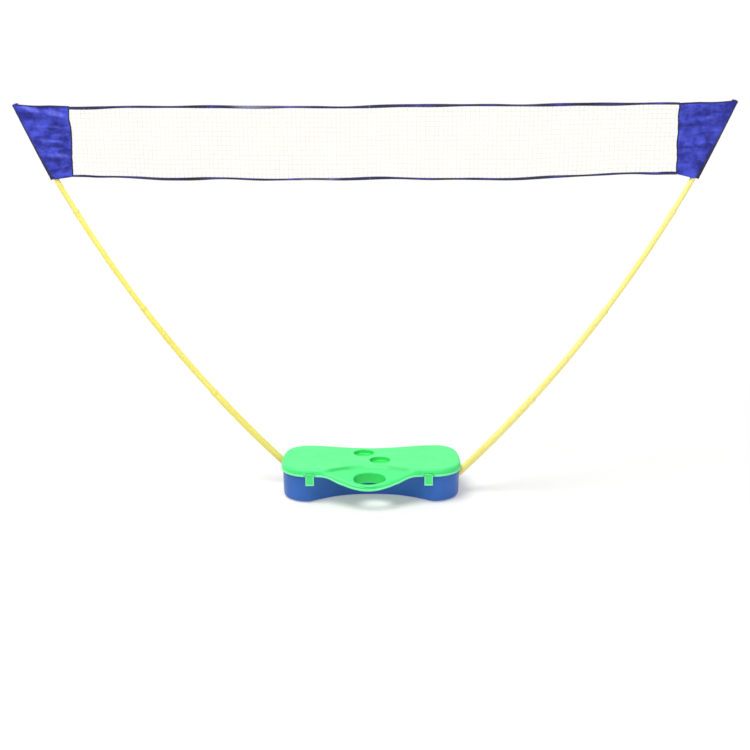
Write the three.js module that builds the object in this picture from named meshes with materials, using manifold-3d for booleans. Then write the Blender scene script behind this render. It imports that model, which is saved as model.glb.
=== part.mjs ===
// Portable badminton net: a moulded carry case that is also the stand, two bowed
// telescoping poles that plug into its ends, and a net strung between them.
// Millimetres, +Z up, origin on the floor under the middle of the case.
import * as THREE from 'three';
import * as BufferGeometryUtils from 'three/addons/utils/BufferGeometryUtils.js';
import Module from 'manifold-3d';

const wasm = await Module();
wasm.setup();

// ---------------------------------------------------------------- dimensions
// case
const FOOT_H = 3;            // rubber feet under the tray
const TRAY_TOP = 125;        // top edge of the tray wall
const TRAY_WALL = 3;
const LID_OVER = 5;          // lid skirt stands this far outside the tray wall
const LID_GAP = 1.5;         // gap between the skirt and the tray wall
const SKIRT_Z = 117;         // bottom edge of the lid skirt
const LID_TOP = 147;         // flat top of the lid
const LID_T = 3;             // lid plate thickness
const HANDLE_X = -11;        // middle of the handle bulge
const HANDLE_Y = -286.5;     // front of the handle bulge
const HANDLE_SLOPE = 0.22;   // fall of the scooped handle region
const HANDLE_STEP = 5;       // small step along the crease
const HOLE = { x: -6, y: -228, a: 66, b: 49, depth: 50 };   // hand hole
const CUPS = [{ x: -32, y: 28.5 }, { x: 38, y: -66.5 }];         // shuttle recesses
const CUP_R = 43.5, CUP_DEPTH = 18;
const LATCH_X = { '-1': -257, '1': 241 }, LATCH_W = 37;
const LATCH_Y = -199.5, LATCH_Z = 125.5;   // axis of the latch pins
const LATCH_BOTTOM = 79.5;
const HINGE_X = 272, HINGE_Y = 153.5, HINGE_Z = 120;

// poles: every section is an arc of one circle, so each slides into the next
const POLE_R = 4925;                       // radius of the bow
const A0 = 44.7, A_TIP = 66.4;             // arc angle where it leaves the case, and at the tip
const ROOT = { x: 391, z: 99 };            // where the pole leaves the case
const POLE_Y = 62;                         // left pole behind, right pole in front of the middle
const JOINTS = [49.8, 55.3, 60.9];         // arc angles of the telescoping joints
const OD = [31.0, 27.4, 24.2, 21.2];       // outer diameters of the sections
const ID = [28.2, 24.9, 21.9, 18.2];
const SOCKET_DEPTH = 0.87;                 // degrees of arc inside the case
const OVERLAP = 0.5;                       // degrees of arc inside the lower section
// net
const SLEEVE_A = 62.5;                     // arc angle of the lower end of the sleeve
const PANEL_X = 1222;                      // inner edge of the end panels
const NET_TOP = 1618, NET_BOT = 1340;      // at the panels
const TAPE_H = 13, TAPE_T = 3;

const SHIFT_Y = 63.5;                      // case moved back so the origin is under the middle of the whole part

const DEG = Math.PI / 180;
const CX = ROOT.x - POLE_R * Math.sin(A0 * DEG);
const CZ = ROOT.z + POLE_R * Math.cos(A0 * DEG);
const arc = (a, r = POLE_R) => ({ x: CX + r * Math.sin(a * DEG), z: CZ - r * Math.cos(a * DEG) });

// ------------------------------------------------------------------- helpers
const group = new THREE.Group();
const MAT = {
  lid: { color: 0x57f08a, roughness: 0.42 }, tray: { color: 0x3058b4, roughness: 0.45 },
  rubber: { color: 0x26262a, roughness: 0.9 }, steel: { color: 0xb9bcc0, roughness: 0.35, metalness: 1 },
  poleL: { color: 0xf6e46a, roughness: 0.4 }, poleR: { color: 0xfff3a0, roughness: 0.4 },
  collar: { color: 0xe6d860, roughness: 0.5 }, fabric: { color: 0x3d40b8, roughness: 0.75 },
  tape: { color: 0x28246c, roughness: 0.8 }, mesh: { color: 0xf4ecc8, roughness: 0.85 },
  cap: { color: 0x1c1a48, roughness: 0.6 },
};
function put(name, geometry, look) {
  const mesh = new THREE.Mesh(geometry, new THREE.MeshStandardMaterial({ metalness: 0, ...look }));
  mesh.name = name;
  group.add(mesh);
  return mesh;
}
function clean(geometry) {
  const g = geometry.clone();
  for (const k of Object.keys(g.attributes)) if (k !== 'position') g.deleteAttribute(k);
  return BufferGeometryUtils.mergeVertices(g, 1e-4);
}
function solid(geometry) {
  const g = clean(geometry);
  const v = new Float32Array(g.attributes.position.array);
  const t = new Uint32Array(g.index.array);
  return new wasm.Manifold(new wasm.Mesh({ numProp: 3, vertProperties: v, triVerts: t }));
}
function geo(man) {
  const m = man.getMesh();
  const g = new THREE.BufferGeometry();
  const n = m.numProp, count = m.vertProperties.length / n;
  const p = new Float32Array(count * 3);
  for (let i = 0; i < count; i++) for (let k = 0; k < 3; k++) p[3 * i + k] = m.vertProperties[n * i + k];
  g.setAttribute('position', new THREE.BufferAttribute(p, 3));
  g.setIndex(new THREE.BufferAttribute(new Uint32Array(m.triVerts), 1));
  return g;
}
const boxGeo = (x0, x1, y0, y1, z0, z1) =>
  new THREE.BoxGeometry(x1 - x0, y1 - y0, z1 - z0).translate((x0 + x1) / 2, (y0 + y1) / 2, (z0 + z1) / 2);
const box = (...a) => solid(boxGeo(...a));
// cylinder along X, Y or Z
function cylGeo(r, len, axis, x, y, z, sides = 24, r2 = r) {
  const g = new THREE.CylinderGeometry(r2, r, len, sides);
  if (axis === 'x') g.rotateZ(-Math.PI / 2);
  if (axis === 'z') g.rotateX(Math.PI / 2);
  return g.translate(x, y, z);
}
const cyl = (...a) => solid(cylGeo(...a));

// straight-sided solid between z0 and z1 over a closed plan outline
function prism(outline, z0, z1) {
  const s = new THREE.Shape(outline.map(p => new THREE.Vector2(p[0], p[1])));
  const g = new THREE.ExtrudeGeometry(s, { depth: z1 - z0, bevelEnabled: false, steps: 1 });
  return solid(g.translate(0, 0, z0));
}
// --------------------------------------------------------------- case outline
// right half of the tray in plan, from the middle of the back round to the middle of the front
const TRAY_HALF = [
  [0, 99], [70, 104], [145, 118], [215, 133], [272, 140], [320, 133], [354, 108], [373, 66], [381, 10], [381, -52],
  [375, -105], [357, -146], [328, -174], [298, -189], [262, -193], [218, -170], [165, -141], [112, -121], [55, -111], [0, -109],
];
// front of the lid over the waist, with x measured from the middle of the handle
const LID_FRONT = [[222, -199.5], [192, -207], [160, -222.5], [117, -243.5], [73, -267.5], [35, -282]];
function mirrorLoop(half) {
  const left = half.slice(1, -1).map(([x, y]) => [-x, y]).reverse();
  return half.concat(left);
}
function smooth(loop, count) {
  const c = new THREE.CatmullRomCurve3(loop.map(p => new THREE.Vector3(p[0], p[1], 0)), true, 'centripetal');
  return c.getSpacedPoints(count).slice(0, count).map(p => new THREE.Vector2(p.x, p.y));
}
function offset(loop, d) {
  const n = loop.length, out = [];
  let area = 0;
  for (let i = 0; i < n; i++) { const a = loop[i], b = loop[(i + 1) % n]; area += a.x * b.y - b.x * a.y; }
  const s = area > 0 ? 1 : -1;
  for (let i = 0; i < n; i++) {
    const a = loop[(i + n - 1) % n], b = loop[i], c = loop[(i + 1) % n];
    const e = c.clone().sub(a).normalize();
    out.push(new THREE.Vector2(b.x + s * e.y * d, b.y - s * e.x * d));
  }
  return out;
}
const N_OUT = 72;
const trayLoop = smooth(mirrorLoop(TRAY_HALF), N_OUT);
const lidLoopRaw = (() => {
  // follow the tray, LID_OVER outside it, and swell forward over the waist as the handle
  const big = offset(smooth(mirrorLoop(TRAY_HALF), 240), LID_OVER);
  const half = [];
  for (const p of big) if (p.x >= 0 && !(p.y < -100 && p.x < 268)) half.push(p);
  const back = half.filter(p => !(p.x < 1e-6));
  back.sort((p, q) => Math.atan2(p.x, p.y - 0) - Math.atan2(q.x, q.y - 0));
  const rear = back.filter((p, i) => i % 4 === 0).map(p => [p.x, p.y]);
  const right = rear.concat(LID_FRONT.map(([x, y]) => [HANDLE_X + x, y]));
  const left = rear.map(([x, y]) => [-x, y]).concat(LID_FRONT.map(([x, y]) => [HANDLE_X - x, y]));
  return smooth([[0, 99 + LID_OVER], ...right, [HANDLE_X, HANDLE_Y], ...left.reverse()], N_OUT);
})();

const creaseY = x => -136 - 57 * ((x - HANDLE_X) / 185) ** 2;
const sstep = (a, b, t) => { const u = Math.max(0, Math.min(1, (t - a) / (b - a))); return u * u * (3 - 2 * u); };
function lidTop(x, y) {
  const w = 1 - sstep(120, 235, Math.abs(x - HANDLE_X));
  const d = Math.max(0, creaseY(x) - y);
  return LID_TOP - w * (HANDLE_STEP * sstep(0, 16, d) + HANDLE_SLOPE * Math.max(0, d - 4));
}
// the skirt hangs 30 mm below the top edge at the lobes and 24 mm at the handle
function skirtZ(x, y) {
  const w = 1 - sstep(120, 235, Math.abs(x - HANDLE_X));
  const k = y < -150 ? w * sstep(150, 220, -y) : 0;
  return SKIRT_Z * (1 - k) + (lidTop(x, y) - 24) * k;
}
// solid over a plan outline whose top and bottom follow height functions
function field(outline, top, bottom) {
  // a gridded slab between the two height functions, clipped by a prism over the outline
  const nx = GRID_X.length, ny = GRID_Y.length, pos = [], all = [];
  for (const h of [top, bottom]) for (const y of GRID_Y) for (const x of GRID_X) pos.push(x, y, h(x, y));
  const at = (s, i, j) => s * nx * ny + j * nx + i;
  const quad = (a, b, c, d) => all.push(a, b, c, a, c, d);
  for (let j = 0; j + 1 < ny; j++) for (let i = 0; i + 1 < nx; i++) {
    quad(at(0, i, j), at(0, i + 1, j), at(0, i + 1, j + 1), at(0, i, j + 1));
    quad(at(1, i, j), at(1, i, j + 1), at(1, i + 1, j + 1), at(1, i + 1, j));
  }
  for (let i = 0; i + 1 < nx; i++) {
    quad(at(1, i, 0), at(1, i + 1, 0), at(0, i + 1, 0), at(0, i, 0));
    quad(at(0, i, ny - 1), at(0, i + 1, ny - 1), at(1, i + 1, ny - 1), at(1, i, ny - 1));
  }
  for (let j = 0; j + 1 < ny; j++) {
    quad(at(0, 0, j), at(0, 0, j + 1), at(1, 0, j + 1), at(1, 0, j));
    quad(at(1, nx - 1, j), at(1, nx - 1, j + 1), at(0, nx - 1, j + 1), at(0, nx - 1, j));
  }
  const g = new THREE.BufferGeometry();
  g.setAttribute('position', new THREE.Float32BufferAttribute(pos, 3));
  g.setIndex(all);
  return solid(g).intersect(prism(asPairs(outline), -50, 400));
}
// grid lines, close together only where the top is curved
const GRID_X = [-410, ...[-236, -208, -182, -156, -130, -104, -78, -52, -26, 0, 26, 52, 78, 104, 130, 156, 182, 208, 236].map(x => x + HANDLE_X), 410];
const GRID_Y = [-330, -300, -280, -255, -235, -220, -205, -193, -183, -173, -163, -154, -145, -136, 240];
const asPairs = loop => loop.map(q => [q.x, q.y]);

// -------------------------------------------------------------------- poles
function tubeArc(a0, a1, r, y, step) {
  const n = Math.max(2, Math.round((a1 - a0) / step));
  const rings = [];
  for (let i = 0; i <= n; i++) rings.push(a0 + (a1 - a0) * i / n);
  return rings.map(a => ({ a, y, r }));
}
const SIDES = 12;
// hollow tube along the bow: outer and inner skins and two end rings
function arcTube(a0, a1, ro, ri, y, sign, step = 0.86) {
  const rings = tubeArc(a0, a1, ro, y, step), pos = [], idx = [];
  const n = rings.length;
  for (const r of [ro, ri]) for (const s of rings) for (let k = 0; k < SIDES; k++) {
    const t = 2 * Math.PI * (k + 0.5) / SIDES;
    const p = arc(s.a, POLE_R + r * Math.cos(t));
    pos.push(sign * p.x, y + r * Math.sin(t), p.z);
  }
  const at = (skin, i, k) => skin * n * SIDES + i * SIDES + (k % SIDES);
  for (let i = 0; i + 1 < n; i++) for (let k = 0; k < SIDES; k++) {
    idx.push(at(0, i, k), at(0, i, k + 1), at(0, i + 1, k + 1), at(0, i, k), at(0, i + 1, k + 1), at(0, i + 1, k));
    idx.push(at(1, i, k), at(1, i + 1, k + 1), at(1, i, k + 1), at(1, i, k), at(1, i + 1, k), at(1, i + 1, k + 1));
  }
  for (let k = 0; k < SIDES; k++) {
    idx.push(at(0, 0, k), at(1, 0, k + 1), at(0, 0, k + 1), at(0, 0, k), at(1, 0, k), at(1, 0, k + 1));
    const e = n - 1;
    idx.push(at(0, e, k), at(0, e, k + 1), at(1, e, k + 1), at(0, e, k), at(1, e, k + 1), at(1, e, k));
  }
  if (sign < 0) for (let i = 0; i < idx.length; i += 3) { const t = idx[i + 1]; idx[i + 1] = idx[i + 2]; idx[i + 2] = t; }
  const g = new THREE.BufferGeometry();
  g.setAttribute('position', new THREE.Float32BufferAttribute(pos, 3));
  g.setIndex(idx);
  return g;
}
// solid rod along the bow, used to cut clearances
function arcRod(a0, a1, r, y, sign) {
  const rings = [a0, (a0 + a1) / 2, a1], pos = [], idx = [], m = 16;
  for (const a of rings) for (let k = 0; k < m; k++) {
    const t = 2 * Math.PI * (k + 0.5) / m, p = arc(a, POLE_R + r * Math.cos(t));
    pos.push(sign * p.x, y + r * Math.sin(t), p.z);
  }
  for (let i = 0; i < 2; i++) for (let k = 0; k < m; k++) {
    const a = i * m + k, b = i * m + (k + 1) % m;
    idx.push(a, b, b + m, a, b + m, a + m);
  }
  for (let k = 1; k + 1 < m; k++) { idx.push(0, k + 1, k); idx.push(2 * m, 2 * m + k, 2 * m + k + 1); }
  if (sign < 0) for (let i = 0; i < idx.length; i += 3) { const t = idx[i + 1]; idx[i + 1] = idx[i + 2]; idx[i + 2] = t; }
  const g = new THREE.BufferGeometry();
  g.setAttribute('position', new THREE.Float32BufferAttribute(pos, 3));
  g.setIndex(idx);
  return solid(g);
}

// ----------------------------------------------------------------- base tray
const sides = [{ s: -1, y: POLE_Y, n: 'left' }, { s: 1, y: -POLE_Y, n: 'right' }];
{
  let tray = prism(asPairs(trayLoop), FOOT_H, TRAY_TOP);
  // catch ledges for the latches on the front wall
  for (const s of [-1, 1]) tray = tray.add(box(LATCH_X[s] - 14, LATCH_X[s] + 14, LATCH_Y + 4.1, LATCH_Y + 26, LATCH_BOTTOM + 4, LATCH_BOTTOM + 7.5));
  tray = tray.subtract(prism(asPairs(offset(trayLoop, -TRAY_WALL)), FOOT_H + 3, TRAY_TOP + 5));
  for (const s of [-1, 1]) {
    // hinge lugs on the back wall
    for (const o of [-14, 14]) {
      const x = s * HINGE_X + o;
      tray = tray.add(box(x - 6, x + 6, HINGE_Y - 15.5, HINGE_Y + 1, HINGE_Z - 15, HINGE_Z - 3.6)).add(cyl(6, 12, 'x', x, HINGE_Y, HINGE_Z, 20));
    }
    tray = tray.subtract(cyl(2.8, 60, 'x', s * HINGE_X, HINGE_Y, HINGE_Z, 20));
  }
  for (const { s, y } of sides) {
    // U-shaped notch in the end wall that the pole socket sits in
    tray = tray.subtract(arcRod(A0 - 1.4, A0 + 1.2, 20.2, y, s));
    tray = tray.subtract(box(Math.min(s * 355, s * 395), Math.max(s * 355, s * 395), y - 20.2, y + 20.2, 88, 130));
  }
  put('base_tray', geo(tray), MAT.tray);
}
// feet
for (const [n, x, y] of [['front_left', -268, -145], ['front_right', 268, -145], ['rear_left', -285, 92], ['rear_right', 285, 92]])
  put('foot_' + n, cylGeo(15, FOOT_H - 0.3, 'z', x, y, (FOOT_H - 0.3) / 2, 24), MAT.rubber);

// ------------------------------------------------------------- pole sockets
for (const { s, y, n } of sides) {
  // blind tube on the line of the pole, closed at its foot
  let sock = arcRod(A0 - SOCKET_DEPTH - 0.05, A0 + 0.03, 19.6, y, s).subtract(arcRod(A0 - SOCKET_DEPTH - 0.012, A0 + 0.5, 15.9, y, s));
  // nothing reaches under the tray floor
  sock = sock.intersect(box(-600, 600, -200, 200, FOOT_H + 3.3, 300));
  // foot that stands the tube on the tray floor
  const f = arc(A0 - SOCKET_DEPTH + 0.12);
  const web = box(Math.min(s * (f.x - 4), s * (f.x + 20)), Math.max(s * (f.x - 4), s * (f.x + 20)), y - 3, y + 3, FOOT_H + 3.3, f.z)
    .subtract(arcRod(A0 - SOCKET_DEPTH - 0.012, A0 + 0.5, 15.9, y, s));
  put('pole_socket_' + n, geo(sock.add(web)), MAT.tray);
}

// ---------------------------------------------------------------------- lid
{
  const outer = field(lidLoopRaw, lidTop, skirtZ);
  const inLid = offset(lidLoopRaw, -3.4);
  const under = (x, y) => lidTop(x, y) - LID_T;
  // hollow over the tray
  let lid = outer
    .subtract(prism(asPairs(offset(trayLoop, LID_GAP)), 40, TRAY_TOP + 0.3))
    .subtract(field(offset(trayLoop, -4), under, () => 60))
    // hollow of the handle bulge, outside the wall that follows the tray
    .subtract(field(inLid, under, () => 40)
      .intersect(box(-262, 262, -320, -60, 30, 160))
      .subtract(prism(asPairs(offset(trayLoop, LID_GAP + 3)), 30, 170)));
  // hand hole with its deep collar
  const ring = (r, z0, z1) => {
    const pts = [];
    for (let i = 0; i < 40; i++) { const t = 2 * Math.PI * i / 40; pts.push([HOLE.x + (HOLE.a + r) * Math.cos(t), HOLE.y + (HOLE.b + r) * Math.sin(t)]); }
    return [pts, z0, z1];
  };
  const [po, z0] = ring(3, lidTop(HOLE.x, HOLE.y + HOLE.b) - HOLE.depth, 170);
  lid = lid.add(field(po.map(p => new THREE.Vector2(...p)), (x, y) => lidTop(x, y) - 0.5, () => z0)
    .subtract(prism(asPairs(offset(trayLoop, LID_GAP)), 30, TRAY_TOP + 0.3)));
  lid = lid.subtract(prism(ring(0)[0], 20, 170));
  // shuttle recesses
  for (const c of CUPS) {
    lid = lid.add(cyl(CUP_R + 2.5, CUP_DEPTH + 2, 'z', c.x, c.y, LID_TOP - (CUP_DEPTH + 2) / 2 - 0.2, 36))
      .subtract(cyl(CUP_R - 2, CUP_DEPTH, 'z', c.x, c.y, LID_TOP - CUP_DEPTH / 2 + 0.6, 36, CUP_R));
  }
  for (const s of [-1, 1]) {
    // hinge knuckle
    const x = s * HINGE_X;
    lid = lid.add(box(x - 7, x + 7, HINGE_Y - 11, HINGE_Y, HINGE_Z, HINGE_Z + 6)).add(cyl(6, 14, 'x', x, HINGE_Y, HINGE_Z, 20));
    lid = lid.subtract(cyl(2.8, 60, 'x', x, HINGE_Y, HINGE_Z, 20));
    for (const o of [-14, 14]) lid = lid.subtract(box(x + o - 6.8, x + o + 6.8, HINGE_Y - 7.2, HINGE_Y + 7, HINGE_Z - 11, HINGE_Z + 9));
    // slot for the latch, and the ears that carry its pin
    const lx = LATCH_X[s];
    for (const o of [-24, 24]) lid = lid.add(box(lx + o - 4.5, lx + o + 4.5, LATCH_Y - 5, LATCH_Y + 5.4, LATCH_Z - 5, LATCH_Z + 5));
    lid = lid.subtract(box(lx - 19.5, lx + 19.5, LATCH_Y - 10, LATCH_Y + 5.6, LATCH_Z - 18.5, LATCH_Z + 6));
    lid = lid.subtract(cyl(1.8, 70, 'x', lx, LATCH_Y, LATCH_Z, 16));
  }
  for (const { s, y } of sides) {
    // end notch: clears the pole, open downwards so the lid lifts off it
    lid = lid.subtract(arcRod(A0 - 1.2, A0 + 1.2, 24, y, s));
    const lo = Math.min(s * 350, s * 400), hi = Math.max(s * 350, s * 400);
    lid = lid.subtract(box(lo, hi, y - 24, y + 24, 60, 99));
  }
  put('base_lid', geo(lid), MAT.lid);
}
for (const [n, s] of [['left', -1], ['right', 1]]) {
  put('lid_hinge_pin_' + n, cylGeo(2.5, 42, 'x', s * HINGE_X, HINGE_Y, HINGE_Z, 16), MAT.steel);
  // latch: flap with a knuckle at the top and a lip that snaps past the ledge on the tray
  const lx = LATCH_X[s], hw = LATCH_W / 2;
  let la = box(lx - hw, lx + hw, LATCH_Y - 2, LATCH_Y + 2, LATCH_BOTTOM, LATCH_Z)
    .add(cyl(4, LATCH_W, 'x', lx, LATCH_Y, LATCH_Z, 20))
    .add(box(lx - 12, lx + 12, LATCH_Y, LATCH_Y + 3.7, LATCH_BOTTOM - 1, LATCH_BOTTOM + 3.1));
  la = la.subtract(cyl(1.8, 60, 'x', lx, LATCH_Y, LATCH_Z, 16));
  put('latch_' + n, geo(la), MAT.lid);
  put('latch_pin_' + n, cylGeo(1.5, 56, 'x', lx, LATCH_Y, LATCH_Z, 12), MAT.steel);
}

// ----------------------------------------------------------- pole sections
for (const { s, y, n } of sides) {
  const look = s < 0 ? MAT.poleL : MAT.poleR;
  const ends = [A0 - SOCKET_DEPTH, ...JOINTS, A_TIP];
  for (let i = 0; i < 4; i++) {
    const a0 = i === 0 ? ends[0] : ends[i] - OVERLAP;
    put(`pole_${n}_section_${i + 1}`, arcTube(a0, ends[i + 1], OD[i] / 2, ID[i] / 2, y, s), look);
    // short collar moulded round the mouth of each outer tube
    if (i < 3) put(`pole_${n}_collar_${i + 1}`, arcTube(ends[i + 1] - 0.19, ends[i + 1] - 0.005, OD[i] / 2 + 1.6, OD[i] / 2 + 0.3, y, s, 0.1), MAT.collar);
  }
  // plug in the mouth of the top section
  const cap = arcRod(A_TIP + 0.004, A_TIP + 0.06, OD[3] / 2 + 0.6, y, s);
  put(`pole_${n}_tip_cap`, geo(cap), MAT.cap);
}

// ---------------------------------------------------------------------- net
// the net runs straight from one pole plane to the other, so it stands a little
// turned about the vertical; y of the net at x:
const tip = arc((SLEEVE_A + A_TIP) / 2);
const netY = x => -POLE_Y * x / tip.x;
function slab(pts, t) {
  // pts: outline in x,z; a thin sheet of thickness t that follows netY
  const s = new THREE.Shape(pts.map(p => new THREE.Vector2(p[0], p[1])));
  const g = new THREE.ExtrudeGeometry(s, { depth: t, bevelEnabled: false, steps: 1 });
  const p = g.attributes.position;
  for (let i = 0; i < p.count; i++) {
    const x = p.getX(i), z = p.getY(i), d = p.getZ(i) - t / 2;
    p.setXYZ(i, x, netY(x) - d, z);
  }
  g.computeVertexNormals();
  return g;
}
const ccw = (pts, s) => (s > 0 ? pts : pts.map(([x, z]) => [-x, z]).reverse());
for (const { s, y, n } of sides) {
  // netting half
  put('netting_' + n, slab(ccw([[0.3, NET_BOT + TAPE_H / 2 + 0.4], [PANEL_X - 0.4, NET_BOT + TAPE_H / 2 + 0.4], [PANEL_X - 0.4, NET_TOP - TAPE_H / 2 - 0.4], [0.3, NET_TOP - TAPE_H / 2 - 0.4]], s), 0.8), MAT.mesh);
  put('top_tape_' + n, slab(ccw([[0.3, NET_TOP - TAPE_H / 2], [PANEL_X - 0.4, NET_TOP - TAPE_H / 2], [PANEL_X - 0.4, NET_TOP + TAPE_H / 2], [0.3, NET_TOP + TAPE_H / 2]], s), TAPE_T), MAT.tape);
  put('bottom_tape_' + n, slab(ccw([[0.3, NET_BOT - TAPE_H / 2], [PANEL_X - 0.4, NET_BOT - TAPE_H / 2], [PANEL_X - 0.4, NET_BOT + TAPE_H / 2], [0.3, NET_BOT + TAPE_H / 2]], s), TAPE_T), MAT.tape);
  // end panel: a sheet from the netting to the sleeve
  const pts = [[PANEL_X, NET_BOT - 2]];
  const m = 6;
  for (let i = 0; i <= m; i++) { const a = SLEEVE_A + (A_TIP - SLEEVE_A) * i / m, p = arc(a, POLE_R - 13.4); pts.push([p.x, p.z]); }
  pts.push([PANEL_X, NET_TOP + 4]);
  put('end_panel_' + n, slab(ccw(pts, s), 2.2), MAT.fabric);
  // sleeve stitched round the top section
  put('pole_sleeve_' + n, arcTube(SLEEVE_A, A_TIP - 0.02, OD[3] / 2 + 2.1, OD[3] / 2 + 0.6, y, s), MAT.fabric);
}

group.position.y = SHIFT_Y;

export default group;
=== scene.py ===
import math

import bmesh
import bpy
import numpy as np
from mathutils import Matrix, Vector, noise
from mathutils.geometry import delaunay_2d_cdt


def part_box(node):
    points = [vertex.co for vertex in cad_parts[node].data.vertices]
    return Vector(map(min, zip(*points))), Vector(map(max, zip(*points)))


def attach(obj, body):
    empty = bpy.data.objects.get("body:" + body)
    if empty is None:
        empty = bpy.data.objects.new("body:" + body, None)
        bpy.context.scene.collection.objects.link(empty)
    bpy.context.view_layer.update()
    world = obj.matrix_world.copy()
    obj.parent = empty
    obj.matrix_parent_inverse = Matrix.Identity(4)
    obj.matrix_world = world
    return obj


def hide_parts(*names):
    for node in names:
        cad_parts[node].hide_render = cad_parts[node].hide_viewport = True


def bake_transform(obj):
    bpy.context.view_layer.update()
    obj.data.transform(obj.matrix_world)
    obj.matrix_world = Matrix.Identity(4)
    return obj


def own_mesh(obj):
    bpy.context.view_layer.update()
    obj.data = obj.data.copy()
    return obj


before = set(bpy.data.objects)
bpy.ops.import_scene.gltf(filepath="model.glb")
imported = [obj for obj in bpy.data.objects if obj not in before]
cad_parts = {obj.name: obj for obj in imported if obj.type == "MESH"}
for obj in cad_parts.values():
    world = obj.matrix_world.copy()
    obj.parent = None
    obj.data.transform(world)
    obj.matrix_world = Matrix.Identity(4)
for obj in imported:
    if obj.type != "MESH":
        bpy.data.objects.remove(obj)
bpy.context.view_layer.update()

scene = bpy.context.scene
RAD = math.pi / 180

# ------------------------------------------------------------------ numbers
SH = 0.0635                                     # the case sits this far back in the frame
R_BOW, A0, A_TIP = 4.925, 44.7, 66.4
CX = 0.391 - R_BOW * math.sin(A0 * RAD)
CZ = 0.099 + R_BOW * math.cos(A0 * RAD)
POLE_Y = {"left": 0.062 + SH, "right": -0.062 + SH}
SIGN = {"left": -1.0, "right": 1.0}
JOINTS = [49.8, 55.3, 60.9]
OD = [0.0310, 0.0274, 0.0242, 0.0212]
ID = [0.0282, 0.0249, 0.0219, 0.0182]
SLEEVE_A = 62.5
PANEL_X = 1.222
NET_TOP, NET_BOT = 1.618, 1.340
TAPE_H = 0.013
TRAY_TOP, SKIRT_Z, LID_TOP = 0.125, 0.117, 0.147
HANDLE_X = -0.011
HOLE = (-0.006, -0.228, 0.066, 0.049)
CUPS = [(-0.032, 0.0285), (0.038, -0.0665)]
CUP_R, CUP_DEPTH = 0.0435, 0.018
LATCH_X = {-1: -0.257, 1: 0.241}
LATCH_Y, LATCH_Z, LATCH_BOTTOM = -0.1995, 0.1255, 0.0795
HINGE_X, HINGE_Y, HINGE_Z = 0.272, 0.1535, 0.120


def arc(a, r=R_BOW):
    return CX + r * math.sin(a * RAD), CZ - r * math.cos(a * RAD)


TIPX = arc((SLEEVE_A + A_TIP) / 2)[0]


def net_y(x):
    return SH - 0.062 * x / TIPX


# -------------------------------------------------------- camera and lights
cam_data = bpy.data.cameras.new("camera")
cam_data.lens = 36.0 * 958.8 / 750.0
cam_data.sensor_width = 36.0
cam_data.clip_end = 100
camera = bpy.data.objects.new("camera", cam_data)
scene.collection.objects.link(camera)
PITCH, ROLL = 14.0, 0.22
camera.location = (0.0182, -3.987 + SH, 1.5008)
camera.rotation_euler = (Matrix.Rotation((90 - PITCH) * RAD, 4, "X") @ Matrix.Rotation(-ROLL * RAD, 4, "Z")).to_euler()
scene.camera = camera
scene.view_settings.view_transform = "Standard"
scene.view_settings.look = "None"
scene.view_settings.exposure = 0.0

world = bpy.data.worlds.new("studio")
scene.world = world
world.use_nodes = True
world.node_tree.nodes["Background"].inputs[0].default_value = (0.96, 0.98, 1.0, 1)
world.node_tree.nodes["Background"].inputs[1].default_value = 0.30


def area_light(name, loc, target, size, power, color=(1, 1, 1)):
    d = bpy.data.lights.new(name, "AREA")
    d.shape = "RECTANGLE"
    d.size, d.size_y = size
    d.energy = power
    d.color = color
    o = bpy.data.objects.new(name, d)
    scene.collection.objects.link(o)
    o.location = loc
    o.rotation_euler = (Vector(target) - Vector(loc)).to_track_quat("-Z", "Y").to_euler()
    return o


area_light("key", (-1.4, -1.1, 5.0), (0, 0, 0.6), (3.0, 3.0), 262, (1.0, 0.99, 0.97))
area_light("fill", (1.8, -4.6, 1.9), (0, 0, 0.6), (2.4, 2.4), 40)

# ---------------------------------------------------------------- materials


def tree(name):
    m = bpy.data.materials.new(name)
    m.use_nodes = True
    nt = m.node_tree
    return m, nt, nt.nodes["Principled BSDF"]


def add(nt, kind, **values):
    n = nt.nodes.new(kind)
    for k, v in values.items():
        if k in n.inputs:
            n.inputs[k].default_value = v
        else:
            setattr(n, k, v)
    return n


def coords(nt, scale=(1, 1, 1)):
    c = nt.nodes.new("ShaderNodeTexCoord")
    m = nt.nodes.new("ShaderNodeMapping")
    m.inputs["Scale"].default_value = scale
    nt.links.new(c.outputs["Object"], m.inputs["Vector"])
    return m.outputs["Vector"]


def ramp(nt, fac, stops):
    r = nt.nodes.new("ShaderNodeValToRGB")
    e = r.color_ramp.elements
    e[0].position, e[0].color = stops[0][0], (*stops[0][1], 1)
    e[1].position, e[1].color = stops[-1][0], (*stops[-1][1], 1)
    for p, c in stops[1:-1]:
        n = e.new(p)
        n.color = (*c, 1)
    nt.links.new(fac, r.inputs["Fac"])
    return r.outputs["Color"]


def bump(nt, bsdf, height, strength, distance, under=None):
    b = nt.nodes.new("ShaderNodeBump")
    b.inputs["Strength"].default_value = strength
    b.inputs["Distance"].default_value = distance
    nt.links.new(height, b.inputs["Height"])
    if under is not None:
        nt.links.new(under, b.inputs["Normal"])
    nt.links.new(b.outputs["Normal"], bsdf.inputs["Normal"])
    return b.outputs["Normal"]


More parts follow.
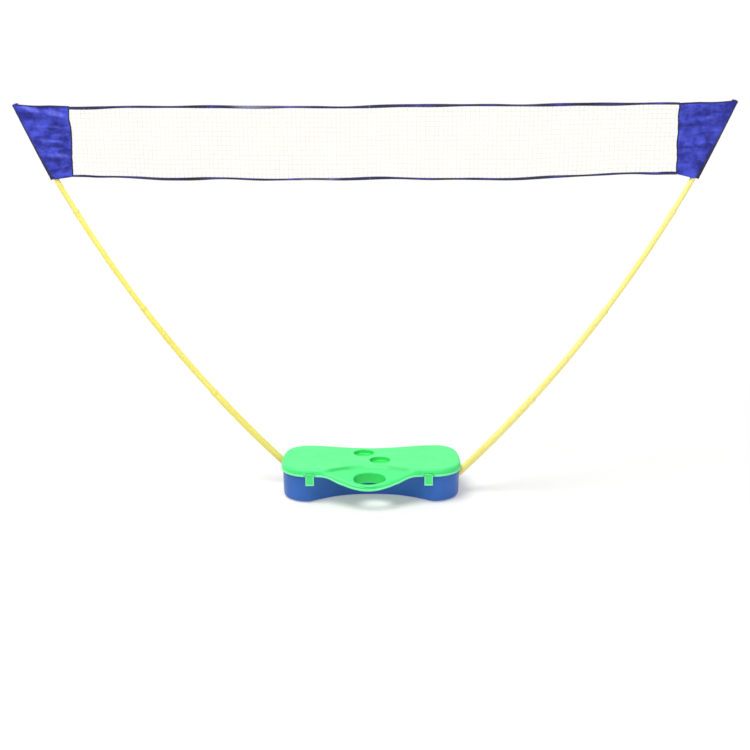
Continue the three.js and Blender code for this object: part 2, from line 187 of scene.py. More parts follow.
def plastic(name, dark, light, rough=0.4, coat=0.0, grain=0.00012, wear=0.0):
    """Moulded plastic: slow colour drift, fine moulded grain, faint flow marks and slight rub marks."""
    m, nt, b = tree(name)
    v = coords(nt)
    n1 = add(nt, "ShaderNodeTexNoise", Scale=6.0, Detail=3.0, Roughness=0.5)
    nt.links.new(v, n1.inputs["Vector"])
    col = ramp(nt, n1.outputs["Fac"], [(0.3, dark), (0.7, light)])
    nt.links.new(col, b.inputs["Base Color"])
    n2 = add(nt, "ShaderNodeTexNoise", Scale=900.0, Detail=2.0, Roughness=0.6)
    nt.links.new(v, n2.inputs["Vector"])
    n3 = add(nt, "ShaderNodeTexNoise", Scale=18.0, Detail=5.0, Roughness=0.65)
    nt.links.new(v, n3.inputs["Vector"])
    r = nt.nodes.new("ShaderNodeMapRange")
    r.inputs["From Min"].default_value, r.inputs["From Max"].default_value = 0.3, 0.7
    r.inputs["To Min"].default_value, r.inputs["To Max"].default_value = rough - 0.06, rough + 0.08
    nt.links.new(n3.outputs["Fac"], r.inputs["Value"])
    nt.links.new(r.outputs["Result"], b.inputs["Roughness"])
    first = bump(nt, b, n2.outputs["Fac"], 0.25, grain)
    bump(nt, b, n3.outputs["Fac"], 0.10, 0.0010, under=first)
    b.inputs["Coat Weight"].default_value = coat
    b.inputs["Coat Roughness"].default_value = 0.25
    b.inputs["IOR"].default_value = 1.48
    b.inputs["Subsurface Weight"].default_value = 0.0
    return m


def cloth(name, dark, light, weave=0.00055, sheen=0.25, rough=0.62, rib=False, painted_fold_shade=0.0):
    """Woven fabric: over-and-under threads at real pitch, uneven dye, soft sheen, and optionally painted fold shade and
    light in bands across it.
    """
    m, nt, b = tree(name)
    v = coords(nt)
    n1 = add(nt, "ShaderNodeTexNoise", Scale=28.0, Detail=4.0, Roughness=0.6)
    nt.links.new(v, n1.inputs["Vector"])
    wx = add(nt, "ShaderNodeTexWave", Scale=1.0 / weave / 6.2832 * 1.0, Distortion=0.4)
    wx.bands_direction = "X"
    wz = add(nt, "ShaderNodeTexWave", Scale=1.0 / weave / 6.2832 * 1.0, Distortion=0.4)
    wz.bands_direction = "Z"
    for w in (wx, wz):
        nt.links.new(v, w.inputs["Vector"])
        w.inputs["Detail"].default_value = 1.0
    mul = nt.nodes.new("ShaderNodeMath")
    mul.operation = "MULTIPLY" if not rib else "MAXIMUM"
    nt.links.new(wx.outputs["Fac"], mul.inputs[0])
    nt.links.new(wz.outputs["Fac"], mul.inputs[1])
    mixn = nt.nodes.new("ShaderNodeMath")
    mixn.operation = "MULTIPLY_ADD"
    nt.links.new(mul.outputs[0], mixn.inputs[0])
    mixn.inputs[1].default_value = 0.25
    nt.links.new(n1.outputs["Fac"], mixn.inputs[2])
    level = mixn.outputs[0]
    if painted_fold_shade:
        b.inputs["Specular IOR Level"].default_value = 0.25
        # painted fold shade and light: stretched noise darkens and lightens bands across the cloth, standing in for the
        # shade and light of creases
        across = coords(nt, (7.0, 7.0, 34.0))
        n2 = add(nt, "ShaderNodeTexNoise", Scale=1.0, Detail=4.0, Roughness=0.62, Distortion=0.5)
        nt.links.new(across, n2.inputs["Vector"])
        ma = nt.nodes.new("ShaderNodeMath")
        ma.operation = "MULTIPLY_ADD"
        nt.links.new(n2.outputs["Fac"], ma.inputs[0])
        ma.inputs[1].default_value = painted_fold_shade
        nt.links.new(level, ma.inputs[2])
        off = nt.nodes.new("ShaderNodeMath")
        off.operation = "SUBTRACT"
        nt.links.new(ma.outputs[0], off.inputs[0])
        off.inputs[1].default_value = painted_fold_shade * 0.5
        level = off.outputs[0]
    col = ramp(nt, level, [(0.38, dark), (0.78, light)])
    nt.links.new(col, b.inputs["Base Color"])
    first = bump(nt, b, mul.outputs[0], 0.5, 0.00022)
    bump(nt, b, n1.outputs["Fac"], 0.22, 0.0022, under=first)
    b.inputs["Roughness"].default_value = rough
    b.inputs["Sheen Weight"].default_value = sheen
    b.inputs["Sheen Roughness"].default_value = 0.4
    b.inputs["Sheen Tint"].default_value = (0.75, 0.8, 1.0, 1)
    return m


def ribbon(name):
    """Satin tape: ribbed weave, and long stretches that lie dark or catch the light as the tape turns over."""
    m, nt, b = tree(name)
    v = coords(nt)
    along = coords(nt, (1, 0, 0))
    n = add(nt, "ShaderNodeTexNoise", Scale=7.5, Detail=2.5, Roughness=0.55)
    nt.links.new(along, n.inputs["Vector"])
    w = add(nt, "ShaderNodeTexWave", Scale=170.0, Distortion=0.4)
    w.bands_direction = "X"
    nt.links.new(v, w.inputs["Vector"])
    s1 = nt.nodes.new("ShaderNodeMath")
    s1.operation = "MULTIPLY_ADD"
    nt.links.new(w.outputs["Fac"], s1.inputs[0])
    s1.inputs[1].default_value = 0.06
    nt.links.new(n.outputs["Fac"], s1.inputs[2])
    nt.links.new(ramp(nt, s1.outputs[0], [(0.42, (0.003, 0.0025, 0.015)), (0.52, (0.009, 0.007, 0.065)), (0.64, (0.022, 0.019, 0.175)), (0.80, (0.09, 0.09, 0.38))]), b.inputs["Base Color"])
    b.inputs["Roughness"].default_value = 0.42
    b.inputs["Sheen Weight"].default_value = 0.12
    b.inputs["Sheen Roughness"].default_value = 0.4
    bump(nt, b, w.outputs["Fac"], 0.5, 0.0002)
    return m


def metal(name, color, rough):
    m, nt, b = tree(name)
    v = coords(nt, (1, 1, 1))
    n = add(nt, "ShaderNodeTexNoise", Scale=260.0, Detail=3.0)
    nt.links.new(v, n.inputs["Vector"])
    nt.links.new(ramp(nt, n.outputs["Fac"], [(0.3, tuple(c * 0.82 for c in color)), (0.7, color)]), b.inputs["Base Color"])
    b.inputs["Metallic"].default_value = 1.0
    b.inputs["Roughness"].default_value = rough
    bump(nt, b, n.outputs["Fac"], 0.15, 0.0001)
    return m


def twine(name):
    m, nt, b = tree(name)
    v = coords(nt)
    w = add(nt, "ShaderNodeTexWave", Scale=420.0, Distortion=1.5)
    w.bands_direction = "DIAGONAL"
    nt.links.new(v, w.inputs["Vector"])
    n = add(nt, "ShaderNodeTexNoise", Scale=9.0, Detail=3.0)
    nt.links.new(v, n.inputs["Vector"])
    s = nt.nodes.new("ShaderNodeMath")
    s.operation = "MULTIPLY_ADD"
    nt.links.new(w.outputs["Fac"], s.inputs[0])
    s.inputs[1].default_value = 0.3
    nt.links.new(n.outputs["Fac"], s.inputs[2])
    nt.links.new(ramp(nt, s.outputs[0], [(0.35, (0.74, 0.66, 0.42)), (0.9, (0.88, 0.82, 0.58))]), b.inputs["Base Color"])
    b.inputs["Roughness"].default_value = 0.85
    b.inputs["Sheen Weight"].default_value = 0.3
    bump(nt, b, w.outputs["Fac"], 0.5, 0.0002)
    return m


M = {
    "lid": plastic("lid_plastic", (0.056, 0.785, 0.200), (0.068, 0.83, 0.222), 0.46),
    # painted shade: a darker copy of the lid plastic, used on the crevice above the flange, the hand-hole wall and
    # collar, and the cups
    "lid_painted_shade": plastic("lid_plastic_painted_shade", (0.024, 0.69, 0.112), (0.030, 0.74, 0.130), 0.5),
    # painted highlight: a lighter copy of the lid plastic, used on the flange lip and on the latch flaps' raised
    # borders
    "rim": plastic("lid_rim_painted_highlight", (0.17, 0.90, 0.38), (0.20, 0.94, 0.43), 0.4),
    "tray": plastic("tray_plastic", (0.010, 0.102, 0.42), (0.016, 0.130, 0.52), 0.42),
    "rubber": plastic("foot_rubber", (0.02, 0.02, 0.021), (0.035, 0.035, 0.037), 0.85),
    "steel": metal("pin_steel", (0.62, 0.63, 0.64), 0.32),
    "pole_left": plastic("pole_yellow", (0.84, 0.73, 0.13), (0.88, 0.78, 0.18), 0.33, coat=0.25),
    "pole_right": plastic("pole_pale_yellow", (0.86, 0.75, 0.20), (0.90, 0.80, 0.26), 0.33, coat=0.25),
    "cap": plastic("cap_plastic", (0.018, 0.016, 0.07), (0.03, 0.027, 0.10), 0.5),
    "panel": cloth("panel_nylon", (0.012, 0.014, 0.22), (0.060, 0.082, 0.62), sheen=0.04, rough=0.5, painted_fold_shade=0.95),
    # also used for the sleeve's dark outer strip, which is partly real binding and partly painted shade
    "binding": cloth("binding_tape_and_painted_shade", (0.004, 0.003, 0.022), (0.010, 0.008, 0.060), weave=0.0009, sheen=0.08, rough=0.7, rib=True),
    "tape": ribbon("net_tape"),
    "netting": twine("net_twine"),
}

def studio_white(name, base, glow, far=0.0):
    m, nt, b = tree(name)
    v = coords(nt)
    n = add(nt, "ShaderNodeTexNoise", Scale=3.0, Detail=3.0)
    nt.links.new(v, n.inputs["Vector"])
    nt.links.new(ramp(nt, n.outputs["Fac"], [(0.3, (base - 0.01,) * 3), (0.7, (base + 0.01,) * 3)]), b.inputs["Base Color"])
    b.inputs["Roughness"].default_value = 0.9
    b.inputs["Specular IOR Level"].default_value = 0.2
    b.inputs["Emission Color"].default_value = (1, 1, 1, 1)
    b.inputs["Emission Strength"].default_value = glow
    if far:
        raw = coords(nt)
        ln = nt.nodes.new("ShaderNodeVectorMath")
        ln.operation = "LENGTH"
        nt.links.new(raw, ln.inputs[0])
        mr = nt.nodes.new("ShaderNodeMapRange")
        nt.links.new(ln.outputs["Value"], mr.inputs["Value"])
        mr.inputs["From Min"].default_value = 0.7
        mr.inputs["From Max"].default_value = 6.0
        mr.inputs["To Min"].default_value = glow
        mr.inputs["To Max"].default_value = far
        nt.links.new(mr.outputs["Result"], b.inputs["Emission Strength"])
    return m


bpy.ops.mesh.primitive_plane_add(size=60, location=(0, 0, -0.0006))
floor = bpy.context.object
floor.name = "floor"
floor.data.materials.append(studio_white("floor_matt", 0.62, 0.29, 0.80))
bpy.ops.mesh.primitive_plane_add(size=1, location=(0, 14, 9), rotation=(math.pi / 2, 0, 0))
wall = bpy.context.object
wall.name = "backdrop"
wall.scale = (60, 24, 1)
wall.data.materials.append(studio_white("backdrop_matt", 0.012, 1.0))

# ------------------------------------------------------------ mesh helpers


def make(name, verts, faces, mats, mat_index=None, smooth=True, sharp=None):
    me = bpy.data.meshes.new(name)
    me.from_pydata([tuple(map(float, v)) for v in verts], [], [tuple(int(i) for i in f) for f in faces])
    for m in (mats if isinstance(mats, (list, tuple)) else [mats]):
        me.materials.append(m)
    if mat_index is not None:
        me.polygons.foreach_set("material_index", np.array(mat_index, dtype=np.int32))
    me.polygons.foreach_set("use_smooth", [smooth] * len(me.polygons))
    me.update()
    if sharp is not None:
        me.set_sharp_from_angle(angle=sharp * RAD)
    o = bpy.data.objects.new(name, me)
    scene.collection.objects.link(o)
    return o


def tidy(o, dist=1e-6, outward=True):
    bm = bmesh.new()
    bm.from_mesh(o.data)
    bmesh.ops.remove_doubles(bm, verts=bm.verts, dist=dist)
    bmesh.ops.dissolve_degenerate(bm, edges=bm.edges, dist=1e-7)
    if outward:
        bmesh.ops.recalc_face_normals(bm, faces=bm.faces)
    bm.to_mesh(o.data)
    bm.free()
    o.data.update()


def bake(o, sharp=None):
    """Apply every modifier."""
    bpy.context.view_layer.update()
    dg = bpy.context.evaluated_depsgraph_get()
    me = bpy.data.meshes.new_from_object(o.evaluated_get(dg), preserve_all_data_layers=True, depsgraph=dg)
    old = o.data
    o.modifiers.clear()
    o.data = me
    bpy.data.meshes.remove(old)
    me.name = o.name
    if sharp is not None:
        me.polygons.foreach_set("use_smooth", [True] * len(me.polygons))
        me.set_sharp_from_angle(angle=sharp * RAD)
    return o


def join(first, others):
    """One mesh from several, without operators."""
    bm = bmesh.new()
    bm.from_mesh(first.data)
    for o in others:
        base = len(first.data.materials)
        remap = []
        for m in o.data.materials:
            if m.name in [x.name for x in first.data.materials]:
                remap.append([x.name for x in first.data.materials].index(m.name))
            else:
                first.data.materials.append(m)
                remap.append(len(first.data.materials) - 1)
        tmp = o.data.copy()
        tmp.transform(o.matrix_world)
        idx = np.zeros(len(tmp.polygons), np.int32)
        tmp.polygons.foreach_get("material_index", idx)
        tmp.polygons.foreach_set("material_index", np.array([remap[i] if i < len(remap) else 0 for i in idx], np.int32))
        bm.from_mesh(tmp)
        bpy.data.meshes.remove(tmp)
        bpy.data.objects.remove(o)
    bm.to_mesh(first.data)
    bm.free()
    return first


def cut(o, cutters):
    """Take each cutter away from the object."""
    before = len(o.data.polygons)
    for c in cutters:
        m = o.modifiers.new("cut", "BOOLEAN")
        m.operation = "DIFFERENCE"
        m.object = c
        m.solver = "MANIFOLD"
        bake(o)
        bpy.data.objects.remove(c)
        if len(o.data.polygons) < before * 0.5:
            raise RuntimeError("the cut emptied " + o.name)


def strips(rings, closed=True):
    """Quads between successive rings of equal length."""
    n = len(rings[0])
    faces = []
    for i in range(len(rings) - 1):
        a, b = i * n, (i + 1) * n
        for k in range(n if closed else n - 1):
            k2 = (k + 1) % n
            faces.append((a + k, a + k2, b + k2, b + k))
    return faces


def loop_points(pts, count):
    """Closed smooth loop through the points, evenly spaced."""
    p = np.array(pts, float)
    n = len(p)
    out = []
    for i in range(n):
        p0, p1, p2, p3 = p[i - 1], p[i], p[(i + 1) % n], p[(i + 2) % n]
        d = [max(1e-9, np.linalg.norm(b - a) ** 0.5) for a, b in ((p0, p1), (p1, p2), (p2, p3))]
        t1 = (p1 - p0) / d[0] - (p2 - p0) / (d[0] + d[1]) + (p2 - p1) / d[1]
        t2 = (p2 - p1) / d[1] - (p3 - p1) / (d[1] + d[2]) + (p3 - p2) / d[2]
        t1, t2 = t1 * d[1], t2 * d[1]
        for t in np.linspace(0, 1, 40, endpoint=False):
            out.append((2 * t**3 - 3 * t**2 + 1) * p1 + (t**3 - 2 * t**2 + t) * t1 + (-2 * t**3 + 3 * t**2) * p2 + (t**3 - t**2) * t2)
    q = np.array(out)
    s = np.r_[0, np.cumsum(np.linalg.norm(np.diff(np.r_[q, q[:1]], axis=0), axis=1))]
    u = np.linspace(0, s[-1], count, endpoint=False)
    qq = np.r_[q, q[:1]]
    r = np.c_[np.interp(u, s, qq[:, 0]), np.interp(u, s, qq[:, 1])]
    return r


def normals(loop):
    """Outward unit normals of a closed loop."""
    e = np.roll(loop, -1, 0) - np.roll(loop, 1, 0)
    e /= np.linalg.norm(e, axis=1)[:, None]
    a = np.sum(loop[:, 0] * np.roll(loop[:, 1], -1) - np.roll(loop[:, 0], -1) * loop[:, 1])
    s = 1 if a > 0 else -1
    n = np.c_[s * e[:, 1], -s * e[:, 0]]
    for _ in range(2):
        n = (np.roll(n, 1, 0) + n * 2 + np.roll(n, -1, 0)) / 4
        n /= np.linalg.norm(n, axis=1)[:, None]
    return n


def sstep(a, b, t):
    u = np.clip((np.asarray(t, float) - a) / (b - a), 0, 1)
    return u * u * (3 - 2 * u)


TRAY_HALF = [(0, 99), (70, 104), (145, 118), (215, 133), (272, 140), (320, 133), (354, 108), (373, 66), (381, 10), (381, -52),
             (375, -105), (357, -146), (328, -174), (298, -189), (262, -193), (218, -170), (165, -141), (112, -121), (55, -111), (0, -109)]
TRAY_HALF = [(x / 1000, y / 1000) for x, y in TRAY_HALF]
LID_FRONT = [(222, -199.5), (192, -207), (160, -222.5), (117, -243.5), (73, -267.5), (35, -282)]
LID_FRONT = [(x / 1000, y / 1000) for x, y in LID_FRONT]
WHOLE = TRAY_HALF + [(-x, y) for x, y in TRAY_HALF[1:-1]][::-1]
N = 420
TRAY = loop_points(WHOLE, N)
TRAY_N = normals(TRAY)
big = loop_points(WHOLE, 240)
big = big + normals(big) * 0.005
rear = [tuple(p) for p in big if p[0] >= 1e-6 and not (p[1] < -0.1 and p[0] < 0.268)]
rear.sort(key=lambda p: math.atan2(p[0], p[1]))
rear = rear[::4]
right_pts = rear + [(HANDLE_X + x, y) for x, y in LID_FRONT]
left_pts = [(-x, y) for x, y in rear] + [(HANDLE_X - x, y) for x, y in LID_FRONT]
LID = loop_points([(0, 0.104)] + right_pts + [(HANDLE_X, -0.2865)] + left_pts[::-1], N)
for _ in range(6):
    LID = (np.roll(LID, 1, 0) + 2 * LID + np.roll(LID, -1, 0)) / 4
LID_N = normals(LID)


def crease_y(x):
    return -0.136 - 0.057 * ((x - HANDLE_X) / 0.185) ** 2


def lid_top(x, y):
    w = 1 - sstep(0.120, 0.235, np.abs(x - HANDLE_X))
    wide = 1 - sstep(0.165, 0.240, np.abs(x - HANDLE_X))
    d = np.maximum(0, crease_y(x) - y)
    return LID_TOP - wide * 0.0090 * sstep(0, 0.0115, d) - w * (0.20 * np.maximum(0, d - 0.004) + 0.0050 * sstep(0.070, 0.145, d))


def skirt_z(x, y):
    w = 1 - sstep(0.120, 0.235, np.abs(x - HANDLE_X))
    k = np.where(y < -0.150, w * sstep(0.150, 0.220, -y), 0)
    d = np.maximum(0, crease_y(x) - y)
    top = LID_TOP - w * (0.005 * sstep(0, 0.014, d) + 0.22 * np.maximum(0, d - 0.004))
    return SKIRT_Z * (1 - k) + (top - 0.024) * k


# ------------------------------------------------------------ pole geometry


def arc_frame(a, side):
    """Point on the pole's axis, the outward radial direction and the across direction."""
    s = SIGN[side]
    x, z = arc(a)
    rad = Vector((s * math.sin(a * RAD), 0, -math.cos(a * RAD)))
    return Vector((s * x, POLE_Y[side], z)), rad, Vector((0, 1, 0))


def arc_tube(profile, side, sides=40):
    """profile: list of (angle, radius); returns rings of points round the bow."""
    rings = []
    for a, r in profile:
        c, rad, ac = arc_frame(a, side)
        rings.append([c + rad * (r * math.cos(2 * math.pi * k / sides)) + ac * (r * math.sin(2 * math.pi * k / sides)) for k in range(sides)])
    return rings


def tube_object(name, profile, side, mat, sides=40, close=True, sharp=40):
    rings = arc_tube(profile, side, sides)
    v = [p for r in rings for p in r]
    f = strips(rings)
    if close:
        n = len(rings)
        for k in range(sides):
            k2 = (k + 1) % sides
            a, b = (n - 1) * sides, 0
            f.append((a + k, a + k2, b + k2, b + k))
    o = make(name, v, f, mat, sharp=None)
    tidy(o)
    o.data.polygons.foreach_set("use_smooth", [True] * len(o.data.polygons))
    o.data.set_sharp_from_angle(angle=sharp * RAD)
    return o


MM = 1 / (R_BOW * 1000) / RAD     # one millimetre along the bow, in degrees


def pole_section(side, i):
    a0 = (A0 - 0.87) if i == 0 else JOINTS[i - 1] - 0.5
    a1 = JOINTS[i] if i < 3 else A_TIP
    ro, ri = OD[i] / 2, ID[i] / 2
    steps = 26
    outer = [(a0 + 0.2 * MM, ro - 0.0004), (a0 + 0.8 * MM, ro)]
    outer += [(a0 + (a1 - a0) * t, ro) for t in np.linspace(0.01, 0.985, steps)]
    outer += [(a1 - 1.0 * MM, ro), (a1 - 0.3 * MM, ro - 0.0003), (a1, ro - 0.0007)]
    inner = [(a1, ri + 0.0002), (a1 - 0.6 * MM, ri)]
    inner += [(a0 + (a1 - a0) * t, ri) for t in np.linspace(0.985, 0.01, steps)]
    inner += [(a0 + 0.6 * MM, ri), (a0, ri + 0.0003)]
    o = tube_object(f"pole_{side}_tube_{i + 1}", outer + inner, side, M[f"pole_{side}"])
    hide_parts(f"pole_{side}_section_{i + 1}")
    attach(o, "base" if i == 0 else f"pole_{side}_{i + 1}")
    return o


for side in ("left", "right"):
    for i in range(4):
        pole_section(side, i)
    for i in range(3):
        a1 = JOINTS[i]
        r0, r1 = OD[i] / 2 + 0.0003, OD[i] / 2 + 0.0016
        L = 16 * MM
        prof = [(a1 - L, r0), (a1 - L + 0.1 * MM, r0 + 0.0003), (a1 - L + 2.4 * MM, r1 - 0.0001), (a1 - L + 3.4 * MM, r1)]
        prof += [(a1 - L + 5.0 * MM, r1), (a1 - L + 5.5 * MM, r1 - 0.00035), (a1 - L + 6.3 * MM, r1 - 0.00035), (a1 - L + 6.8 * MM, r1)]
        prof += [(a1 - 2.0 * MM, r1), (a1 - 1.0 * MM, r1 - 0.0003), (a1 - 0.5 * MM, r1 - 0.0009), (a1 - 0.5 * MM, r0)]
        o = tube_object(f"pole_{side}_mouth_ring_{i + 1}", prof, side, M[f"pole_{side}"])
        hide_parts(f"pole_{side}_collar_{i + 1}")
        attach(o, "base" if i == 0 else f"pole_{side}_{i + 1}")
    # domed plug in the tip
    r = OD[3] / 2 + 0.0006
    prof = [(A_TIP + 0.3 * MM, 0.0002), (A_TIP + 0.3 * MM, r - 0.0004), (A_TIP + 0.7 * MM, r)]
    prof += [(A_TIP + (0.7 + 4.5 * math.sin(t * math.pi / 2)) * MM, max(0.0002, r * math.cos(t * math.pi / 2))) for t in np.linspace(0.08, 1, 9)]
    o = tube_object(f"pole_{side}_end_plug", prof, side, M["cap"], close=True)
    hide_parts(f"pole_{side}_tip_cap")
    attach(o, f"pole_{side}_4")

# ----------------------------------------------------------------- the case


def surface(name, rings, mats, mat_rows, top_fn, holes, pitch, close_mat):
    """Rings of the outside from the rim inwards, then a fine triangulated top between the last ring and the hole rings."""
    n = len(rings[0])
    verts = [tuple(p) for r in rings for p in r]
    faces, mi = [], []
    for i in range(len(rings) - 1):
        a, b = i * n, (i + 1) * n
        for k in range(n):
            k2 = (k + 1) % n
            faces.append((a + k, a + k2, b + k2, b + k))
            mi.append(mat_rows[i])
    last = (len(rings) - 1) * n
    base = [Vector((verts[last + k][0], verts[last + k][1])) for k in range(n)]
    owner = [last + k for k in range(n)]
    pts = list(base)
    edges = [(k, (k + 1) % n) for k in range(n)]
    for hole in holes:
        hr = hole["rings"]
        m = len(hr[0])
        off = len(verts)
        for r in hr:
            verts += [tuple(p) for p in r]
        for i in range(len(hr) - 1):
            a, b = off + i * m, off + (i + 1) * m
            for k in range(m):
                k2 = (k + 1) % m
                faces.append((a + k, a + k2, b + k2, b + k))
                mi.append(hole["mats"][i])
        if hole.get("floor"):
            c = len(verts)
            cen = np.mean(np.array([tuple(p) for p in hr[-1]]), axis=0)
            verts.append(tuple(cen))
            a = off + (len(hr) - 1) * m
            for k in range(m):
                faces.append((a + k, a + (k + 1) % m, c))
                mi.append(hole["mats"][-1])
        s = len(pts)
        for k in range(m):
            pts.append(Vector((verts[off + k][0], verts[off + k][1])))
            owner.append(off + k)
        edges += [(s + k, s + (k + 1) % m) for k in range(m)]
    xs = np.arange(-0.39, 0.391, pitch)
    ys = np.arange(-0.30, 0.16, pitch)
    loop = np.array([[p.x, p.y] for p in base])

    def inside(px, py, poly):
        x1, y1 = poly[:, 0], poly[:, 1]
        x2, y2 = np.roll(x1, -1), np.roll(y1, -1)
        hit = ((y1 > py) != (y2 > py)) & (px < (x2 - x1) * (py - y1) / (y2 - y1 + 1e-15) + x1)
        return hit.sum() % 2 == 1

    polys = [np.array([[p[0], p[1]] for p in h["rings"][0]]) for h in holes]
    for iy, y in enumerate(ys):
        for x in xs:
            px = x + (pitch / 2 if iy % 2 else 0)
            if not inside(px, y, loop) or any(inside(px, y, q) for q in polys):
                continue
            if np.min(np.hypot(loop[:, 0] - px, loop[:, 1] - y)) < pitch * 0.55:
                continue
            if any(np.min(np.hypot(q[:, 0] - px, q[:, 1] - y)) < pitch * 0.5 for q in polys):
                continue
            pts.append(Vector((px, y)))
            owner.append(None)
    vo, _, fo, orig, _, _ = delaunay_2d_cdt(pts, edges, [], 0, 1e-7)
    new = []
    for k, p in enumerate(vo):
        o = orig[k][0] if orig[k] else None
        if o is not None and owner[o] is not None:
            new.append(owner[o])
        else:
            verts.append((p.x, p.y, float(top_fn(p.x, p.y))))
            new.append(len(verts) - 1)
    for f in fo:
        cx = sum(vo[i].x for i in f) / len(f)
        cy = sum(vo[i].y for i in f) / len(f)
        if not inside(cx, cy, loop) or any(inside(cx, cy, q) for q in polys):
            continue
        faces.append(tuple(new[i] for i in f))
        mi.append(close_mat)
    return make(name, verts, faces, mats, mi)


def shifted(ring):
    return [(p[0], p[1] + SH, p[2]) for p in ring]


def loop_ring(loop, nrm, out, z):
    p = loop + nrm * out
    zz = np.broadcast_to(z, (len(p),))
    return [(p[k, 0], p[k, 1], zz[k]) for k in range(len(p))]


def pole_cutter(side, r, a_lo, a_hi, front=0.0, up=None, down=None):
    """Rod along the pole, widened towards the front by front; up and down are not used."""
    m = 40
    rings = []
    for a in (a_lo, (a_lo + a_hi) / 2, a_hi):
        c, rad, ac = arc_frame(a, side)
        rings.append([c + rad * (r * math.cos(2 * math.pi * k / m)) + ac * (r * math.sin(2 * math.pi * k / m) - (front if math.sin(2 * math.pi * k / m) < 0 else 0)) for k in range(m)])
    v = [p for q in rings for p in q]
    f = strips(rings) + [tuple(range(m - 1, -1, -1)), tuple(range(2 * m, 3 * m))]
    o = make("cutter", v, f, M["tray"])
    tidy(o)
    return o


def box_object(name, lo, hi, mat):
    v = [(x, y, z) for x in (lo[0], hi[0]) for y in (lo[1], hi[1]) for z in (lo[2], hi[2])]
    f = [(0, 1, 3, 2), (4, 6, 7, 5), (0, 4, 5, 1), (2, 3, 7, 6), (0, 2, 6, 4), (1, 5, 7, 3)]
    o = make(name, v, f, mat, smooth=False)
    tidy(o)
    return o


def bevel(o, width, segments=3, angle=30):
    m = o.modifiers.new("bevel", "BEVEL")
    m.width = width
    m.segments = segments
    m.limit_method = "ANGLE"
    m.angle_limit = angle * RAD
    m.harden_normals = False
    return bake(o, sharp=50)


# tray ---------------------------------------------------------------------
def tray_piece():
    draft = 0.0022
    rows = [(-0.0105, 0.0030), (-0.0062, 0.0033), (-0.0032, 0.0046), (-0.0012, 0.0075), (-0.0003, 0.0120)]
    rings = []
    for out, z in rows:
        rings.append(loop_ring(TRAY, TRAY_N, out - draft, z))
    for t in np.linspace(0.12, 1, 9):
        rings.append(loop_ring(TRAY, TRAY_N, -draft * (1 - t), 0.012 + (0.1095 - 0.012) * t))
    # shallow step under the rim, then the rim and the inside
    rings += [loop_ring(TRAY, TRAY_N, 0.0, 0.1105), loop_ring(TRAY, TRAY_N, -0.0006, 0.1115), loop_ring(TRAY, TRAY_N, -0.0006, 0.1238),
              loop_ring(TRAY, TRAY_N, -0.0010, 0.1247), loop_ring(TRAY, TRAY_N, -0.0018, 0.1250), loop_ring(TRAY, TRAY_N, -0.0026, 0.1247),
              loop_ring(TRAY, TRAY_N, -0.0030, 0.1236)]
    for t in np.linspace(0.15, 1, 6):
        rings.append(loop_ring(TRAY, TRAY_N, -0.0030 - draft * t, 0.1236 - (0.1236 - 0.013) * t))
    rings += [loop_ring(TRAY, TRAY_N, -0.0062, 0.0085), loop_ring(TRAY, TRAY_N, -0.0095, 0.0064), loop_ring(TRAY, TRAY_N, -0.0135, 0.0060)]
    n = N
    verts = [p for r in rings for p in r]
    faces = strips(rings)
    # floor, inside and underneath
    for ring_i, z in ((len(rings) - 1, 0.0060), (0, 0.0030)):
        loop = [Vector((verts[ring_i * n + k][0], verts[ring_i * n + k][1])) for k in range(n)]
        pts = list(loop)
        for x in np.arange(-0.36, 0.361, 0.02):
            for y in np.arange(-0.19, 0.151, 0.02):
                la = np.array([[p.x, p.y] for p in loop])
                if np.min(np.hypot(la[:, 0] - x, la[:, 1] - y)) > 0.012:
                    pts.append(Vector((x, y)))
        vo, _, fo, orig, _, _ = delaunay_2d_cdt(pts, [(k, (k + 1) % n) for k in range(n)], [], 2, 1e-7)
        new = []
        for k, p in enumerate(vo):
            o = orig[k][0] if orig[k] else None
            if o is not None and o < n:
                new.append(ring_i * n + o)
            else:
                verts.append((p.x, p.y, z))
                new.append(len(verts) - 1)
        used = set()
        for f in fo:
            cx = np.array([sum(vo[i].x for i in f) / 3, sum(vo[i].y for i in f) / 3])
            la = np.array([[p.x, p.y] for p in loop])
            x1, y1 = la[:, 0], la[:, 1]
            x2, y2 = np.roll(x1, -1), np.roll(y1, -1)
            hit = ((y1 > cx[1]) != (y2 > cx[1])) & (cx[0] < (x2 - x1) * (cx[1] - y1) / (y2 - y1 + 1e-15) + x1)
            if hit.sum() % 2 == 1:
                faces.append(tuple(new[i] for i in f))
    o = make("tray_shell", [(v[0], v[1] + SH, v[2]) for v in verts], faces, M["tray"])
    bm = bmesh.new()
    bm.from_mesh(o.data)
    bmesh.ops.delete(bm, geom=[v for v in bm.verts if not v.link_faces], context="VERTS")
    bmesh.ops.recalc_face_normals(bm, faces=bm.faces)
    bm.to_mesh(o.data)
    bm.free()
    cutters = []
    for side in ("left", "right"):
        cutters.append(pole_cutter(side, 0.0166, A0 - 0.5, A0 + 0.6))
        s = SIGN[side]
        y = POLE_Y[side]
        lo = (min(s * 0.355, s * 0.40), y - 0.0166, 0.0900)
        hi = (max(s * 0.355, s * 0.40), y + 0.0166, 0.140)
        cutters.append(box_object("cutter", lo, hi, M["tray"]))
    cut(o, cutters)
    o.data.polygons.foreach_set("use_smooth", [True] * len(o.data.polygons))
    o.data.set_sharp_from_angle(angle=38 * RAD)
    return o


